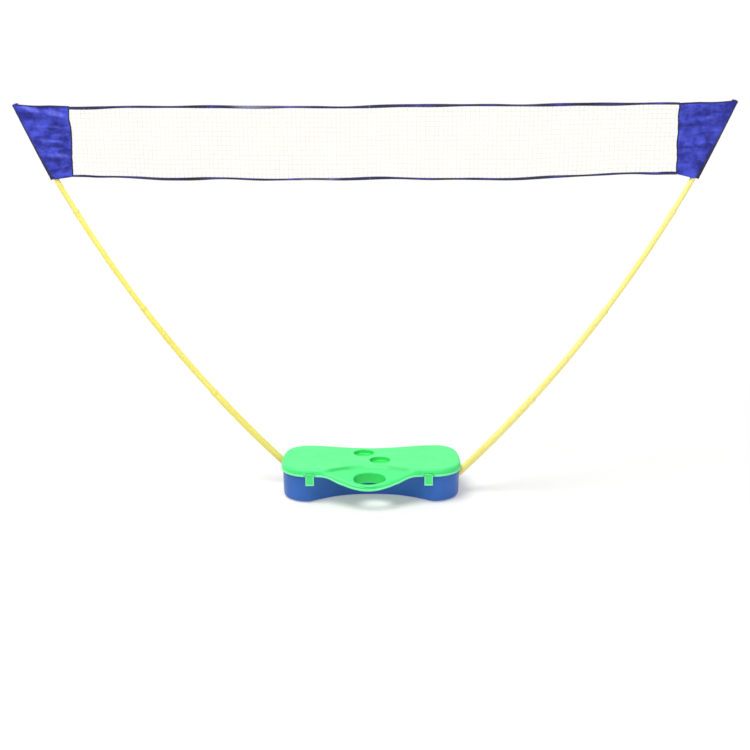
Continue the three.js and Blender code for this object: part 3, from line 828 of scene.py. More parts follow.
tray = tray_piece()
extras = []
for s in (-1, 1):
    # hinge knuckles on the back wall
    for off in (-0.014, 0.014):
        x = s * HINGE_X + off
        b = box_object("lug", (x - 0.006, HINGE_Y - 0.0158 + SH, HINGE_Z - 0.0125), (x + 0.006, HINGE_Y + 0.0005 + SH, HINGE_Z - 0.0034), M["tray"])
        b = bevel(b, 0.001, 2)
        extras.append(b)
        m = 32
        prof = [(0.0060, -0.006), (0.0060, 0.006), (0.0028, 0.006), (0.0028, -0.006)]
        v = []
        for rr, dx in prof:
            for k in range(m):
                t = 2 * math.pi * k / m
                v.append((x + dx, HINGE_Y + SH + rr * math.cos(t), HINGE_Z + rr * math.sin(t)))
        f = []
        for i in range(4):
            for k in range(m):
                k2 = (k + 1) % m
                f.append((i * m + k, i * m + k2, ((i + 1) % 4) * m + k2, ((i + 1) % 4) * m + k))
        kn = make("knuckle", v, f, M["tray"])
        tidy(kn)
        kn = bevel(kn, 0.0006, 2, 40)
        extras.append(kn)
    # catch ledge
    lx = LATCH_X[s]
    top = [(lx + dx, LATCH_Y + 0.0041) for dx in (-0.014, 0.014)]
    wall = [(x, float(np.min(np.where(np.abs(TRAY[:, 0] - x) < 0.004, TRAY[:, 1], 1))) + 0.0015) for x, _ in top]
    v = [(x, y + SH, z) for z in (LATCH_BOTTOM + 0.004, LATCH_BOTTOM + 0.0075) for x, y in (top[0], top[1], wall[1], wall[0])]
    b = make("catch", v, [(3, 2, 1, 0), (4, 5, 6, 7), (0, 1, 5, 4), (1, 2, 6, 5), (2, 3, 7, 6), (3, 0, 4, 7)], M["tray"], smooth=False)
    tidy(b)
    extras.append(bevel(b, 0.0009, 2))


tray = join(tray, extras)
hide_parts("base_tray")
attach(tray, "base")


# lid ----------------------------------------------------------------------
def paint_crease_shade(m):
    """Painted shade: a deeper green is mixed into the lid's colour along the crease, standing in for the shade in its
    step.
    """
    nt = m.node_tree
    b = next(n for n in nt.nodes if n.type == "BSDF_PRINCIPLED")
    src = b.inputs["Base Color"].links[0].from_socket
    at = nt.nodes.new("ShaderNodeAttribute")
    at.attribute_name = "painted_crease_shade"
    mix = nt.nodes.new("ShaderNodeMix")
    mix.data_type = "RGBA"
    nt.links.new(at.outputs["Fac"], mix.inputs[0])
    nt.links.new(src, mix.inputs[6])
    # colour of the painted crease shade
    mix.inputs[7].default_value = (0.022, 0.56, 0.10, 1)
    nt.links.new(mix.outputs[2], b.inputs["Base Color"])


paint_crease_shade(M["lid"])


def lid_piece():
    zt = lambda out: lid_top(*(LID + LID_N * out).T)
    zb = lambda out: skirt_z(*(LID + LID_N * out).T)
    # rows marked rim carry a painted highlight along the flange lip
    rim, body, shaded = 2, 0, 1
    # rows marked shaded carry painted shade in the crevice just above the flange
    rows = [(0.0004, "b", 0.0000, rim), (0.0016, "b", 0.0002, rim), (0.0022, "b", 0.0010, rim), (0.0023, "b", 0.0030, rim), (0.0023, "b", 0.0058, rim),
            (0.0019, "b", 0.0070, rim), (0.0010, "b", 0.0078, rim), (-0.0004, "b", 0.0081, shaded), (-0.0013, "b", 0.0085, shaded), (-0.0016, "b", 0.0094, body),
            (-0.0017, "b", 0.0108, body), (-0.0021, "t", -0.0100, body), (-0.0030, "t", -0.0070, body), (-0.0050, "t", -0.0040, body), (-0.0080, "t", -0.0017, body),
            (-0.0115, "t", -0.0005, body), (-0.0150, "t", -0.0001, body), (-0.0190, "t", 0.0, body)]
    rings, mats = [], []
    for out, kind, dz, m in rows:
        z = (zb(0) if kind == "b" else zt(out)) + dz
        rings.append(loop_ring(LID, LID_N, out, z))
        mats.append(m)
    holes = []
    # hand hole
    m = 96
    hr, hm = [], []
    # the lower rows of the hand hole and its collar carry painted shade
    for grow, dz, mat in ((0.0060, 0.0, body), (0.0042, -0.0003, body), (0.0024, -0.0012, body), (0.0010, -0.0028, shaded), (0.0002, -0.0050, shaded), (0.0, -0.0080, shaded)):
        ring = []
        for k in range(m):
            t = 2 * math.pi * k / m
            x = HOLE[0] + (HOLE[2] + grow) * math.cos(t)
            y = HOLE[1] + (HOLE[3] + grow) * math.sin(t)
            ring.append((x, y, float(lid_top(x, y)) + dz))
        hr.append(ring)
        hm.append(mat)
    zlow = float(lid_top(HOLE[0], HOLE[1] + HOLE[3])) - 0.0465
    for q in (0.25, 0.5, 0.75, 1.0):
        ring = []
        for k in range(m):
            t = 2 * math.pi * k / m
            x = HOLE[0] + (HOLE[2] - 0.0015 * q) * math.cos(t)
            y = HOLE[1] + (HOLE[3] - 0.0015 * q) * math.sin(t)
            z0 = float(lid_top(x, y)) - 0.0080
            ring.append((x, y, z0 + (zlow - z0) * q))
        hr.append(ring)
        hm.append(shaded)
    holes.append({"rings": hr, "mats": hm})
    for cx, cy in CUPS:
        m = 72
        hr, hm = [], []
        D = CUP_DEPTH
        # the cup walls and floors carry painted shade
        prof = [(0.0048, 0, body), (0.0030, -0.0003, body), (0.0014, -0.0011, shaded), (0.0004, -0.0026, shaded), (0.0, -0.0046, shaded), (-0.0004, -0.0090, shaded),
                (-0.0010, 0.0058 - D, shaded), (-0.0018, 0.0028 - D, shaded), (-0.0038, 0.0008 - D, shaded), (-0.0068, -D, shaded), (-0.020, -D, shaded), (-0.032, -D, shaded)]
        for grow, dz, mat in prof:
            hr.append([(cx + (CUP_R + grow) * math.cos(2 * math.pi * k / m), cy + (CUP_R + grow) * math.sin(2 * math.pi * k / m), LID_TOP + dz) for k in range(m)])
            hm.append(mat)
        holes.append({"rings": hr, "mats": hm, "floor": True})
    o = surface("lid_shell", rings, [M["lid"], M["lid_painted_shade"], M["rim"]], mats, lambda x, y: lid_top(x, y), holes, 0.0065, body)
    # painted crease shade: a per-vertex weight along the crease, strongest towards its tails, kept to the upper lid
    co = np.array([v.co[:] for v in o.data.vertices])
    d = crease_y(co[:, 0]) - co[:, 1]
    off = np.abs(co[:, 0] - HANDLE_X)
    crease_shade = np.exp(-(((d - 0.0065) / 0.0065) ** 2)) * (0.30 + 0.70 * sstep(0.045, 0.105, off)) * (1 - sstep(0.150, 0.190, off))
    crease_shade = crease_shade * (co[:, 2] > LID_TOP - 0.030)
    o.data.attributes.new("painted_crease_shade", "FLOAT", "POINT").data.foreach_set("value", crease_shade.astype(np.float32))
    for v in o.data.vertices:
        v.co.y += SH
    bm = bmesh.new()
    bm.from_mesh(o.data)
    bmesh.ops.delete(bm, geom=[v for v in bm.verts if not v.link_faces], context="VERTS")
    bmesh.ops.recalc_face_normals(bm, faces=bm.faces)
    up = sum(f.normal.z * f.calc_area() for f in bm.faces)
    if up < 0:
        bmesh.ops.reverse_faces(bm, faces=bm.faces)
    bm.to_mesh(o.data)
    bm.free()
    s = o.modifiers.new("thick", "SOLIDIFY")
    s.thickness = 0.0024
    s.offset = -1
    s.use_even_offset = False
    bake(o)
    cutters = []
    for side in ("left", "right"):
        cutters.append(pole_cutter(side, 0.0180, A0 - 1.0, A0 + 0.8, front=0.004 if side == "left" else 0.0))
        sg = SIGN[side]
    for sx in (-1, 1):
        # slot that the latch knuckle sits in, and relief for the tray's knuckles
        cutters.append(box_object("cutter", (LATCH_X[sx] - 0.0195, LATCH_Y - 0.012 + SH, LATCH_Z - 0.0185), (LATCH_X[sx] + 0.0195, LATCH_Y + 0.0052 + SH, LATCH_Z + 0.0047), M["lid"]))
        for off in (-0.014, 0.014):
            x = sx * HINGE_X + off
            cutters.append(box_object("cutter", (x - 0.0068, HINGE_Y - 0.0072 + SH, HINGE_Z - 0.013), (x + 0.0068, HINGE_Y + 0.010 + SH, HINGE_Z + 0.0085), M["lid"]))
    cut(o, cutters)
    o.data.polygons.foreach_set("use_smooth", [True] * len(o.data.polygons))
    o.data.set_sharp_from_angle(angle=40 * RAD)
    return o


lid = lid_piece()
parts = []
for s in (-1, 1):
    x = s * HINGE_X
    m = 32
    prof = [(0.0060, -0.007), (0.0060, 0.007), (0.0028, 0.007), (0.0028, -0.007)]
    v = [(x + dx, HINGE_Y + SH + rr * math.cos(2 * math.pi * k / m), HINGE_Z + rr * math.sin(2 * math.pi * k / m)) for rr, dx in prof for k in range(m)]
    f = [(i * m + k, i * m + (k + 1) % m, ((i + 1) % 4) * m + (k + 1) % m, ((i + 1) % 4) * m + k) for i in range(4) for k in range(m)]
    kn = make("knuckle", v, f, M["lid"])
    tidy(kn)
    parts.append(bevel(kn, 0.0006, 2, 40))
    b = box_object("web", (x - 0.007, HINGE_Y - 0.0105 + SH, HINGE_Z + 0.0022), (x + 0.007, HINGE_Y - 0.0015 + SH, HINGE_Z + 0.0058), M["lid"])
    parts.append(bevel(b, 0.0008, 2))
    # ears that carry the latch pin
    for off in (-0.0236, 0.0236):
        b = box_object("ear", (LATCH_X[s] + off - 0.0039, LATCH_Y - 0.0045 + SH, LATCH_Z - 0.0045), (LATCH_X[s] + off + 0.0039, LATCH_Y + 0.0054 + SH, LATCH_Z + 0.0047), M["lid"])
        parts.append(bevel(b, 0.0014, 3))
# wall inside the handle that follows the tray
keep = (TRAY[:, 1] < -0.06) & (np.abs(TRAY[:, 0]) < 0.19)
idx = [i for i in range(N) if keep[i]]
ring0 = [TRAY[i] + TRAY_N[i] * 0.0020 for i in idx]
ring1 = [TRAY[i] + TRAY_N[i] * 0.0042 for i in idx]
v, f = [], []
for ring in (ring0, ring1):
    for p in ring:
        v.append((p[0], p[1] + SH, SKIRT_Z + 0.0005))
    for p in ring:
        v.append((p[0], p[1] + SH, float(lid_top(p[0], p[1])) - 0.0015))
L = len(idx)
for k in range(L - 1):
    f += [(k, k + 1, L + k + 1, L + k), (2 * L + k + 1, 2 * L + k, 3 * L + k, 3 * L + k + 1), (k + 1, k, 2 * L + k, 2 * L + k + 1), (L + k, L + k + 1, 3 * L + k + 1, 3 * L + k)]
f += [(0, L, 3 * L, 2 * L), (L - 1, 3 * L - 1, 4 * L - 1, 2 * L - 1)]
rib = make("rib", v, f, M["lid"])
tidy(rib)
rib.data.set_sharp_from_angle(angle=40 * RAD)
parts.append(rib)
lid = join(lid, parts)
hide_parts("base_lid")
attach(lid, "lid")

# latches --------------------------------------------------------------------
for side, s in (("left", -1), ("right", 1)):
    lx = LATCH_X[s]
    hw = 0.0178
    ay, az, zb = LATCH_Y + SH, LATCH_Z, LATCH_BOTTOM
    pieces = []
    # flap: a plate with a raised border on three sides
    plate = bevel(box_object("plate", (lx - hw, ay - 0.0018, zb), (lx + hw, ay + 0.0018, az), M["lid"]), 0.0010, 3)
    # the raised border uses the lighter lid copy: painted highlight
    pieces.append(bevel(box_object("edge", (lx - hw, ay - 0.0038, zb), (lx - hw + 0.0046, ay - 0.0012, az - 0.004), M["rim"]), 0.0011, 3))
    pieces.append(bevel(box_object("edge", (lx + hw - 0.0046, ay - 0.0038, zb), (lx + hw, ay - 0.0012, az - 0.004), M["rim"]), 0.0011, 3))
    pieces.append(bevel(box_object("edge", (lx - hw, ay - 0.0042, zb - 0.0007), (lx + hw, ay - 0.0012, zb + 0.0055), M["rim"]), 0.0012, 3))
    pieces.append(bevel(box_object("lip", (lx - 0.012, ay + 0.0005, zb - 0.0007), (lx + 0.012, ay + 0.0036, zb + 0.0027), M["lid"]), 0.0008, 2))
    m = 32
    prof = [(0.0040, -hw), (0.0040, hw), (0.0018, hw), (0.0018, -hw)]
    v = [(lx + dx, ay + rr * math.cos(2 * math.pi * k / m), az + rr * math.sin(2 * math.pi * k / m)) for rr, dx in prof for k in range(m)]
    f = [(i * m + k, i * m + (k + 1) % m, ((i + 1) % 4) * m + (k + 1) % m, ((i + 1) % 4) * m + k) for i in range(4) for k in range(m)]
    kn = make("knuckle", v, f, M["lid"])
    tidy(kn)
    pieces.append(bevel(kn, 0.0006, 2, 40))
    plate.name = f"latch_flap_{side}"
    la = join(plate, pieces)
    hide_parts(f"latch_{side}")
    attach(la, f"latch_{side}")

# sockets: moulded tubes inside the tray, ending flush with its wall
for side in ("left", "right"):
    prof = [(A0 - 0.90, 0.0003), (A0 - 0.90, 0.0190), (A0 - 0.87, 0.0194), (A0 - 0.42, 0.0194), (A0 - 0.40, 0.0190), (A0 - 0.40, 0.0162), (A0 - 0.86, 0.0160), (A0 - 0.885, 0.0157), (A0 - 0.885, 0.0003)]
    prof = [(max(a, A0 - 0.885), r) if r < 0.001 else (a, r) for a, r in prof]
    prof[-1] = (A0 - 0.882, 0.0003)
    o = tube_object(f"socket_tube_{side}", prof, side, M["tray"], sides=36)
    for v in o.data.vertices:
        v.co.z = max(v.co.z, 0.0063)
    fx, fz = arc(A0 - 0.80)
    s = SIGN[side]
    web = bevel(box_object("web", (min(s * (fx - 0.006), s * (fx + 0.030)), POLE_Y[side] - 0.0015, 0.0062), (max(s * (fx - 0.006), s * (fx + 0.030)), POLE_Y[side] + 0.0015, fz - 0.012), M["tray"]), 0.0004, 1)
    o = join(o, [web])
    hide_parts(f"pole_socket_{side}")
    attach(o, "base")

# feet and pins keep their CAD shape, rounded in detail pieces
for n in ("front_left", "front_right", "rear_left", "rear_right"):
    lo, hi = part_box("foot_" + n)
    cx, cy = (lo.x + hi.x) / 2, (lo.y + hi.y) / 2
    m = 40
    prof = [(0.0, 0.0), (0.0128, 0.0), (0.0140, 0.0004), (0.0148, 0.0012), (0.0150, 0.0020), (0.0150, 0.0027), (0.0, 0.0027)]
    v, f = [], []
    for rr, z in prof[1:-1]:
        v += [(cx + rr * math.cos(2 * math.pi * k / m), cy + rr * math.sin(2 * math.pi * k / m), z) for k in range(m)]
    f = strips([v[i * m:(i + 1) * m] for i in range(len(prof) - 2)])
    f += [tuple(range(m - 1, -1, -1)), tuple(range((len(prof) - 3) * m, (len(prof) - 2) * m))]
    o = make("rubber_foot_" + n, v, f, M["rubber"], sharp=None)
    tidy(o)
    o.data.set_sharp_from_angle(angle=40 * RAD)
    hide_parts("foot_" + n)
    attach(o, "base")
for n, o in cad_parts.items():
    if "pin" in n:
        o.data.materials.clear()
        o.data.materials.append(M["steel"])

# ------------------------------------------------------------------ the net


FOLDS = {
    # centre height at the outer edge and at the inner edge, rise, width above, width below, from, to
    "left": [(0.930, 0.815, 0.0090, 0.060, 0.048, -1, 2), (0.700, 0.665, 0.0040, 0.035, 0.030, 0.15, 2), (0.545, 0.575, 0.0042, 0.040, 0.030, 0.45, 2),
             (0.50, 0.475, 0.0050, 0.035, 0.035, -0.1, 0.72), (0.37, 0.40, 0.0028, 0.024, 0.022, 0.3, 2), (0.275, 0.270, 0.0072, 0.045, 0.034, -1, 2), (0.125, 0.150, 0.0036, 0.028, 0.026, 0.45, 2)],
    "right": [(0.955, 0.930, 0.0070, 0.030, 0.040, -1, 2), (0.800, 0.725, 0.0062, 0.035, 0.030, -0.1, 2), (0.665, 0.640, 0.0030, 0.026, 0.024, -1, 0.6), (0.560, 0.575, 0.0062, 0.036, 0.030, 0.1, 2),
              (0.430, 0.400, 0.0045, 0.032, 0.030, -0.1, 0.8), (0.330, 0.335, 0.0035, 0.026, 0.022, 0.4, 2), (0.215, 0.215, 0.0072, 0.036, 0.040, -1, 2), (0.060, 0.075, 0.0030, 0.022, 0.022, 0.2, 2)],
}
EDGE = {   # how far the inner edge of each panel wanders inwards, from bottom to top
    "left": ([0, 0.07, 0.31, 0.65, 0.82, 1.0], [-0.001, -0.0005, 0.0022, 0.0068, 0.0018, 0.0030]),
    "right": ([0, 0.10, 0.28, 0.45, 0.62, 0.80, 1.0], [-0.0080, -0.0052, -0.0048, -0.0010, -0.0018, 0.0014, 0.0]),
}


def smooth_table(v, xs, ys):
    """Smooth curve through a short table."""
    i = min(max(int(np.searchsorted(xs, v)) - 1, 0), len(xs) - 2)
    t = min(max((v - xs[i]) / (xs[i + 1] - xs[i]), 0), 1)
    m = [0.0] * len(xs)
    for k in range(1, len(xs) - 1):
        m[k] = (ys[k + 1] - ys[k - 1]) / (xs[k + 1] - xs[k - 1])
    h = xs[i + 1] - xs[i]
    return (2 * t**3 - 3 * t**2 + 1) * ys[i] + (t**3 - 2 * t**2 + t) * h * m[i] + (-2 * t**3 + 3 * t**2) * ys[i + 1] + (t**3 - t**2) * h * m[i + 1]


def edge_x(side, z):
    """Distance from the middle of the net to the inner edge of the panel."""
    return PANEL_X + 0.0015 - smooth_table((z - 1.3425) / 0.28, *EDGE[side])


def fold_height(side, u, v):
    d = 0.0
    k = 3.0 if side == "left" else 8.0
    for c0, c1, rise, up, down, u0, u1 in FOLDS[side]:
        c = c0 + (c1 - c0) * u + 0.016 * noise.noise(Vector((u * 3.1, c0 * 9, k)))
        t = (v - c) / (up if v > c else down)
        env = float(sstep(u0 - 0.16, u0 + 0.16, u) * (1 - sstep(u1 - 0.16, u1 + 0.16, u)))
        d += 1.55 * rise * env * (0.8 + 0.5 * noise.noise(Vector((u * 4.0, c0 * 7, k + 2)))) * math.exp(-t * t)
    d += 0.0016 * noise.noise(Vector((u * 3.0, v * 9.0, k))) + 0.0013 * noise.noise(Vector((u * 7.0 + 5, v * 17.0 + u * 3, k)))
    d += 0.0006 * noise.noise(Vector((u * 16.0, v * 34.0 - u * 6, k)))
    return d


LOW_A = SLEEVE_A + 0.085       # lower end of the sleeve cloth


def panel(side):
    s = SIGN[side]
    nu, nv = 64, 110

    def outer(v):
        return arc(LOW_A + (A_TIP + 0.02 - LOW_A) * v, R_BOW - 0.0042 + 0.0050 * (1 - v) ** 3)

    rows = []
    for j in range(nv + 1):
        v = j / nv
        ox, oz = outer(v)
        iz0 = 1.3425 if side == "left" else 1.3485
        iz = iz0 + (1.6225 - iz0) * v
        ix = edge_x(side, iz)
        span = ox - ix
        row = []
        for i in range(nu + 1):
            u = i / nu
            x = ox + (ix - ox) * u
            z = oz + (iz - oz) * u
            z -= 0.0030 * math.sin(math.pi * min(1, u * 1.6)) * float(sstep(0.8, 1.0, v))
            away = u * span                      # distance from the pole
            d = fold_height(side, u, v)
            d *= (0.12 + 0.88 * float(sstep(0.0, 0.045, away))) * (1 - 0.5 * float(sstep(0.82, 1.0, u)))
            d *= 0.45 + 0.55 * float(sstep(0, 0.045, min(v, 1 - v)))
            leave = float(sstep(0.0, 0.085, away))
            y = (POLE_Y[side] - 0.0134) * (1 - leave) + (net_y(s * x) - 0.0005) * leave
            row.append((s * x, y - d, z))
        rows.append(row)
    verts = [p for r in rows for p in r]
    faces = []
    w = nu + 1
    for j in range(nv):
        for i in range(nu):
            faces.append((j * w + i, j * w + i + 1, (j + 1) * w + i + 1, (j + 1) * w + i))
    o = make(f"panel_cloth_{side}", verts, faces, [M["panel"], M["binding"]])
    sol = o.modifiers.new("thick", "SOLIDIFY")
    sol.thickness = 0.0008
    sol.offset = 0
    bake(o)

    def binding(path, inward, width, thick, mat="binding"):
        """A U-shaped fold of tape over an edge; path runs along the edge and inward points into the panel."""
        sec = [(0.0, 0.5), (0.25, 0.98), (0.6, 1.0), (1.0, 0.92), (1.0, 0.55)]
        sec = [(a * width, b * thick) for a, b in sec]
        sec = sec + [(a, -b) for a, b in sec[::-1]] + [(-0.0008, -0.3 * thick), (-0.0008, 0.3 * thick)]
        rings = [[(p[0] + q[0] * a, p[1] - b, p[2] + q[2] * a) for a, b in sec] for p, q in zip(path, inward)]
        n = len(sec)
        ff = strips(rings) + [tuple(range(n - 1, -1, -1)), tuple(range((len(rings) - 1) * n, len(rings) * n))]
        b = make("binding", [q for r in rings for q in r], ff, M[mat])
        tidy(b)
        return b

    R = np.array(rows)
    pieces = []
    top = [tuple(p) for p in R[nv, :]]
    pieces.append(binding(top, [(0, 0, -1)] * len(top), 0.0052, 0.0016))
    bot = [tuple(p) for p in R[0, :]]
    pieces.append(binding(bot, [(0, 0, 1)] * len(bot), 0.0040, 0.0015, "panel"))
    inn = [tuple(p) for p in R[1:-1, nu]]
    pieces.append(binding(inn, [(s, 0, 0)] * len(inn), 0.0042, 0.0016))
    o = join(o, pieces)
    o.data.polygons.foreach_set("use_smooth", [True] * len(o.data.polygons))
    o.data.set_sharp_from_angle(angle=55 * RAD)
    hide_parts(f"end_panel_{side}")
    # direction, 0 to 39 degrees, that best parts the strip along the pole from the inner edge; the result is not used
    out_pts = np.c_[np.abs(R[:, 0, 0]), R[:, 0, 2]]
    in_pts = np.c_[np.abs(R[:, nu, 0]), R[:, nu, 2]]
    best = None
    for deg in range(0, 40):
        d = np.array([-math.cos(deg * RAD), math.sin(deg * RAD)])
        lo, hi = (out_pts @ d).max(), (in_pts @ d).min()
        if best is None or hi - lo > best[0]:
            best = (hi - lo, d, lo, hi)
    _, d, lo, hi = best
    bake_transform(o)
    return o


def sleeve(side):
    """Cloth tube round the top section, closed over its end, with a dark strip down the outer side that is partly the
    real binding and partly painted shade.
    """
    s = SIGN[side]
    m, steps = 48, 110
    rings = []
    a_lo, a_hi = LOW_A, A_TIP + 0.012
    fin = 0.0080 if side == "left" else 0.0085
    for j in range(steps + 1):
        t = j / steps
        ring = []
        hem = 0.0005 if t < 0.035 or t > 0.975 else 0.0
        stitch = -0.0004 if 0.036 < t < 0.046 or 0.962 < t < 0.974 else 0.0
        for k in range(m):
            th = 2 * math.pi * k / m
            # the lower end is cut level, the upper end square to the pole
            a = a_lo + (a_hi - a_lo) * t + 0.0063 * 1000 * MM * math.cos(th) * (1 - t) ** 3
            c, rad, ac = arc_frame(a, side)
            r = 0.01185 + 0.0007 * math.exp(-((th - math.pi) / 0.30) ** 2) + 0.0008 * math.exp(-(min(th, 2 * math.pi - th) / 0.45) ** 2)
            r += 0.0005 * noise.noise(Vector((th * 1.3, t * 16, 4.0 if side == "left" else 9.0))) + 0.0002 * noise.noise(Vector((th * 2.5, t * 45, 2.0)))
            r = max(r, 0.0114) + hem + stitch
            r += fin * (1 - t) ** 1.5 * math.exp(-(min(th, 2 * math.pi - th) / 0.30) ** 2)
            ring.append(c + rad * (r * math.cos(th)) + ac * (r * math.sin(th)))
        rings.append(ring)
    # the end is gathered and sewn shut just past the plug
    c, rad, ac = arc_frame(a_hi, side)
    fwd = arc_frame(a_hi + 0.01, side)[0] - c
    fwd.normalize()
    for ahead, fac in ((0.0016, 0.97), (0.0030, 0.86), (0.0040, 0.66), (0.0046, 0.42), (0.0048, 0.18)):
        rings.append([c + (Vector(p) - c) * fac + fwd * ahead + rad * (0.004 * (1 - fac)) for p in rings[steps]])
    last = len(rings) - 1
    verts = [p for r in rings for p in r]
    faces = strips(rings) + [tuple(range(last * m, last * m + m))]
    mats = []
    # dark binding colour over the outer side of the sleeve: partly real binding, partly painted shade
    for j in range(last):
        for k in range(m):
            th = 2 * math.pi * (k + 0.5) / m
            mats.append(1 if min(th, 2 * math.pi - th) < 1.15 else 0)
    mats.append(1)
    o = make(f"sleeve_cloth_{side}", verts, faces, [M["panel"], M["binding"]], mats)
    cen = arc_frame((a_lo + a_hi) / 2, side)[0]
    f0 = o.data.polygons[steps * m // 2]
    if f0.normal.dot(f0.center - cen) < 0:
        o.data.flip_normals()
    sol = o.modifiers.new("thick", "SOLIDIFY")
    sol.thickness = 0.0005
    sol.offset = -1
    bake(o)
    o.data.set_sharp_from_angle(angle=60 * RAD)
    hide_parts(f"pole_sleeve_{side}")
    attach(o, f"pole_{side}_4")
    return o


def top_z(x):
    sag = 0.0052 * math.exp(-((x + 0.08) / 0.26) ** 2) + 0.0024 * math.exp(-((x + 0.62) / 0.25) ** 2)
    return NET_TOP + 0.0006 - sag + 0.0012 * math.sin(x * 7.1 + 0.6) + 0.0008 * math.sin(x * 17.3) - 0.002 * math.exp(-((abs(x) - 1.15) / 0.12) ** 2) * (1 if x < 0 else -0.6)


def bot_z(x):
    a = abs(x)
    base = 1.3312 + (0.0140 * float(sstep(0.84, 1.08, a)) if x < 0 else 0.0205 * float(sstep(0.60, 1.12, a)))
    k = 1 - float(sstep(1.12, 1.20, a))
    return base + k * (0.0022 * math.sin(x * 8.3 + 1.0) + 0.0014 * math.sin(x * 19.0 + 0.4))


def tape(name, side, zf, seed, width, twist):
    """Doubled tape: a strip folded along its top or bottom edge, turning and curling a little along its length."""
    s = SIGN[side]
    rng = np.random.default_rng(seed)
    ph = rng.uniform(0, 6.28, 6)
    n = 260
    t2 = 0.0009      # thickness of the doubled cloth
    gap = 0.0011     # half the space between the two layers
    flip = 1 if "top" in name else -1
    sec_out = [(-0.5, 1.0), (-0.25, 1.12), (0.05, 1.1), (0.30, 0.95), (0.44, 0.6), (0.5, 0.0), (0.44, -0.6), (0.30, -0.95), (0.05, -1.1), (-0.25, -1.12), (-0.5, -1.0)]
    rings = []
    for i in range(n + 1):
        x = s * (0.0002 + (edge_x(side, zf(s * PANEL_X)) + 0.002 - 0.0002) * i / n)
        X = x
        tw = twist * (0.55 * math.sin(X * 5.3 + ph[0]) + 0.35 * math.sin(X * 11.7 + ph[1]) + 0.3 * math.sin(X * 23.0 + ph[2]))
        wd = width * (1 + 0.22 * math.sin(X * 9.1 + ph[3]) + 0.10 * math.sin(X * 27.0 + ph[4]))
        cy = net_y(x) + 0.0012 * math.sin(X * 6.0 + ph[5])
        cz = zf(x)
        ca, sa = math.cos(tw), math.sin(tw)
        ring = []
        for grow in (t2 / 2, -t2 / 2):
            seq = sec_out if grow > 0 else sec_out[::-1]
            for a, b in seq:
                la = flip * (a * wd + (grow if a > 0.45 else grow * max(0.0, a) * 1.2))
                lb = b * gap + (grow if b > 0.3 else -grow if b < -0.3 else 0)
                ring.append((x, cy + lb * ca - la * sa, cz + la * ca + lb * sa))
        rings.append(ring)
    m = len(rings[0])
    verts = [p for r in rings for p in r]
    faces = strips(rings)
    faces += [tuple(range(m - 1, -1, -1)), tuple(range((len(rings) - 1) * m, len(rings) * m))]
    o = make(name, verts, faces, M["tape"])
    tidy(o, dist=1e-7)
    o.data.polygons.foreach_set("use_smooth", [True] * len(o.data.polygons))
    o.data.set_sharp_from_angle(angle=50 * RAD)
    return o


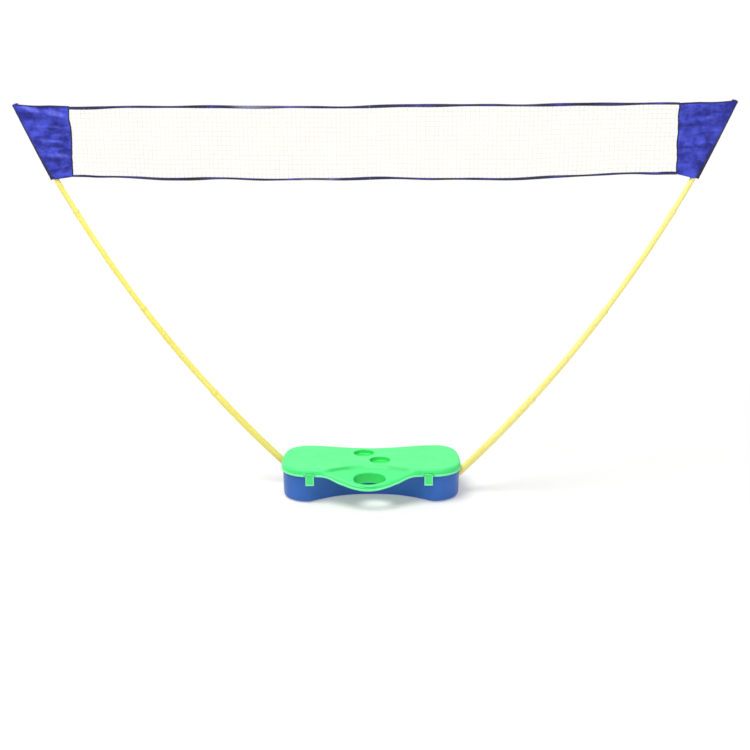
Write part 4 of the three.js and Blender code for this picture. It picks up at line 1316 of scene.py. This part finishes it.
def netting(side):
    """Knotted square mesh: every strand is a round twine, with a knot at each crossing."""
    s = SIGN[side]
    rng = np.random.default_rng(5 if side == "left" else 6)
    pitch = 0.0179
    nx = int(round((PANEL_X - 0.002) / pitch))
    nz = 15
    xs = [s * (pitch * (i + 0.5)) * (PANEL_X - 0.001) / (pitch * nx) for i in range(nx)]
    r = 0.00070
    P = {}
    for i in range(-1, nx + 1):
        for j in range(nz + 1):
            if i < 0:
                x = 0.0
            elif i >= nx:
                x = s * (edge_x(side, 1.347 + 0.266 * j / nz) + 0.0006)
            else:
                x = xs[i] + rng.normal(0, 0.0006)
            zt, zb = top_z(x) - 0.0045, bot_z(x) + 0.0045
            t = j / nz
            z = zb + (zt - zb) * t
            jig = 0 if j in (0, nz) else 1
            z += jig * (rng.normal(0, 0.0005) - 0.0010 * math.sin(math.pi * t))
            y = net_y(x) + jig * (0.0022 * math.sin(x * 4.0 + j * 0.45) + rng.normal(0, 0.0004))
            P[i, j] = Vector((x, y, z))
    verts, faces = [], []

    def strand(pts, radius):
        sides = 5
        base = len(verts)
        n = len(pts)
        for k, p in enumerate(pts):
            d = (pts[min(k + 1, n - 1)] - pts[max(k - 1, 0)]).normalized()
            a = d.cross(Vector((0, 1, 0))).normalized()
            b = d.cross(a)
            for q in range(sides):
                th = 2 * math.pi * q / sides
                verts.append(p + a * (radius * math.cos(th)) + b * (radius * math.sin(th)))
        for k in range(n - 1):
            for q in range(sides):
                q2 = (q + 1) % sides
                faces.append((base + k * sides + q, base + k * sides + q2, base + (k + 1) * sides + q2, base + (k + 1) * sides + q))
        faces.append(tuple(base + q for q in range(sides - 1, -1, -1)))
        faces.append(tuple(base + (n - 1) * sides + q for q in range(sides)))

    def knot(p, size):
        base = len(verts)
        for d in ((1, 0, 0), (-1, 0, 0), (0, 1, 0), (0, -1, 0), (0, 0, 1), (0, 0, -1)):
            verts.append(p + Vector(d) * size)
        for a, b, c in ((0, 2, 4), (2, 1, 4), (1, 3, 4), (3, 0, 4), (2, 0, 5), (1, 2, 5), (3, 1, 5), (0, 3, 5)):
            faces.append((base + a, base + b, base + c))

    for i in range(nx):
        pts = []
        for j in range(nz + 1):
            p = P[i, j] + Vector((0, 0.00035 * (-1) ** j, 0))
            pts.append(p)
            if j < nz:
                q = (P[i, j] + P[i, j + 1]) / 2
                q.x += 0.0003 * math.sin(i * 1.7 + j)
                pts.append(q)
        strand(pts, r)
    for j in range(1, nz):
        pts = []
        for i in range(-1, nx + 1):
            p = P[i, j] - Vector((0, 0.00035 * (-1) ** j, 0))
            pts.append(p)
            if i < nx:
                q = (P[i, j] + P[i + 1, j]) / 2
                q.z -= 0.0006
                pts.append(q)
        strand(pts, r)
    for i in range(nx):
        for j in range(1, nz):
            knot(P[i, j], r * 1.75)
    o = make(f"net_twine_{side}", verts, faces, M["netting"])
    area = 0.5 * sum(p.area for p in o.data.polygons)
    return o, area


for side in ("left", "right"):
    s = SIGN[side]
    panel(side)
    sleeve(side)
    keep = 0.5736
    for nm, zf, seed, wd, tw in ((f"top_tape_{side}", top_z, 11, 0.0104, 0.55), (f"bottom_tape_{side}", bot_z, 17, 0.0098, 0.85)):
        o = tape("cloth_" + nm, side, zf, seed, wd, tw)
        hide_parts(nm)
        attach(o, f"net_{side}")
        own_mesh(o)
    o, a = netting(side)
    print("netting area", a, "flat", PANEL_X * 0.276)
    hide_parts(f"netting_{side}")
    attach(o, f"net_{side}")
    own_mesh(o)
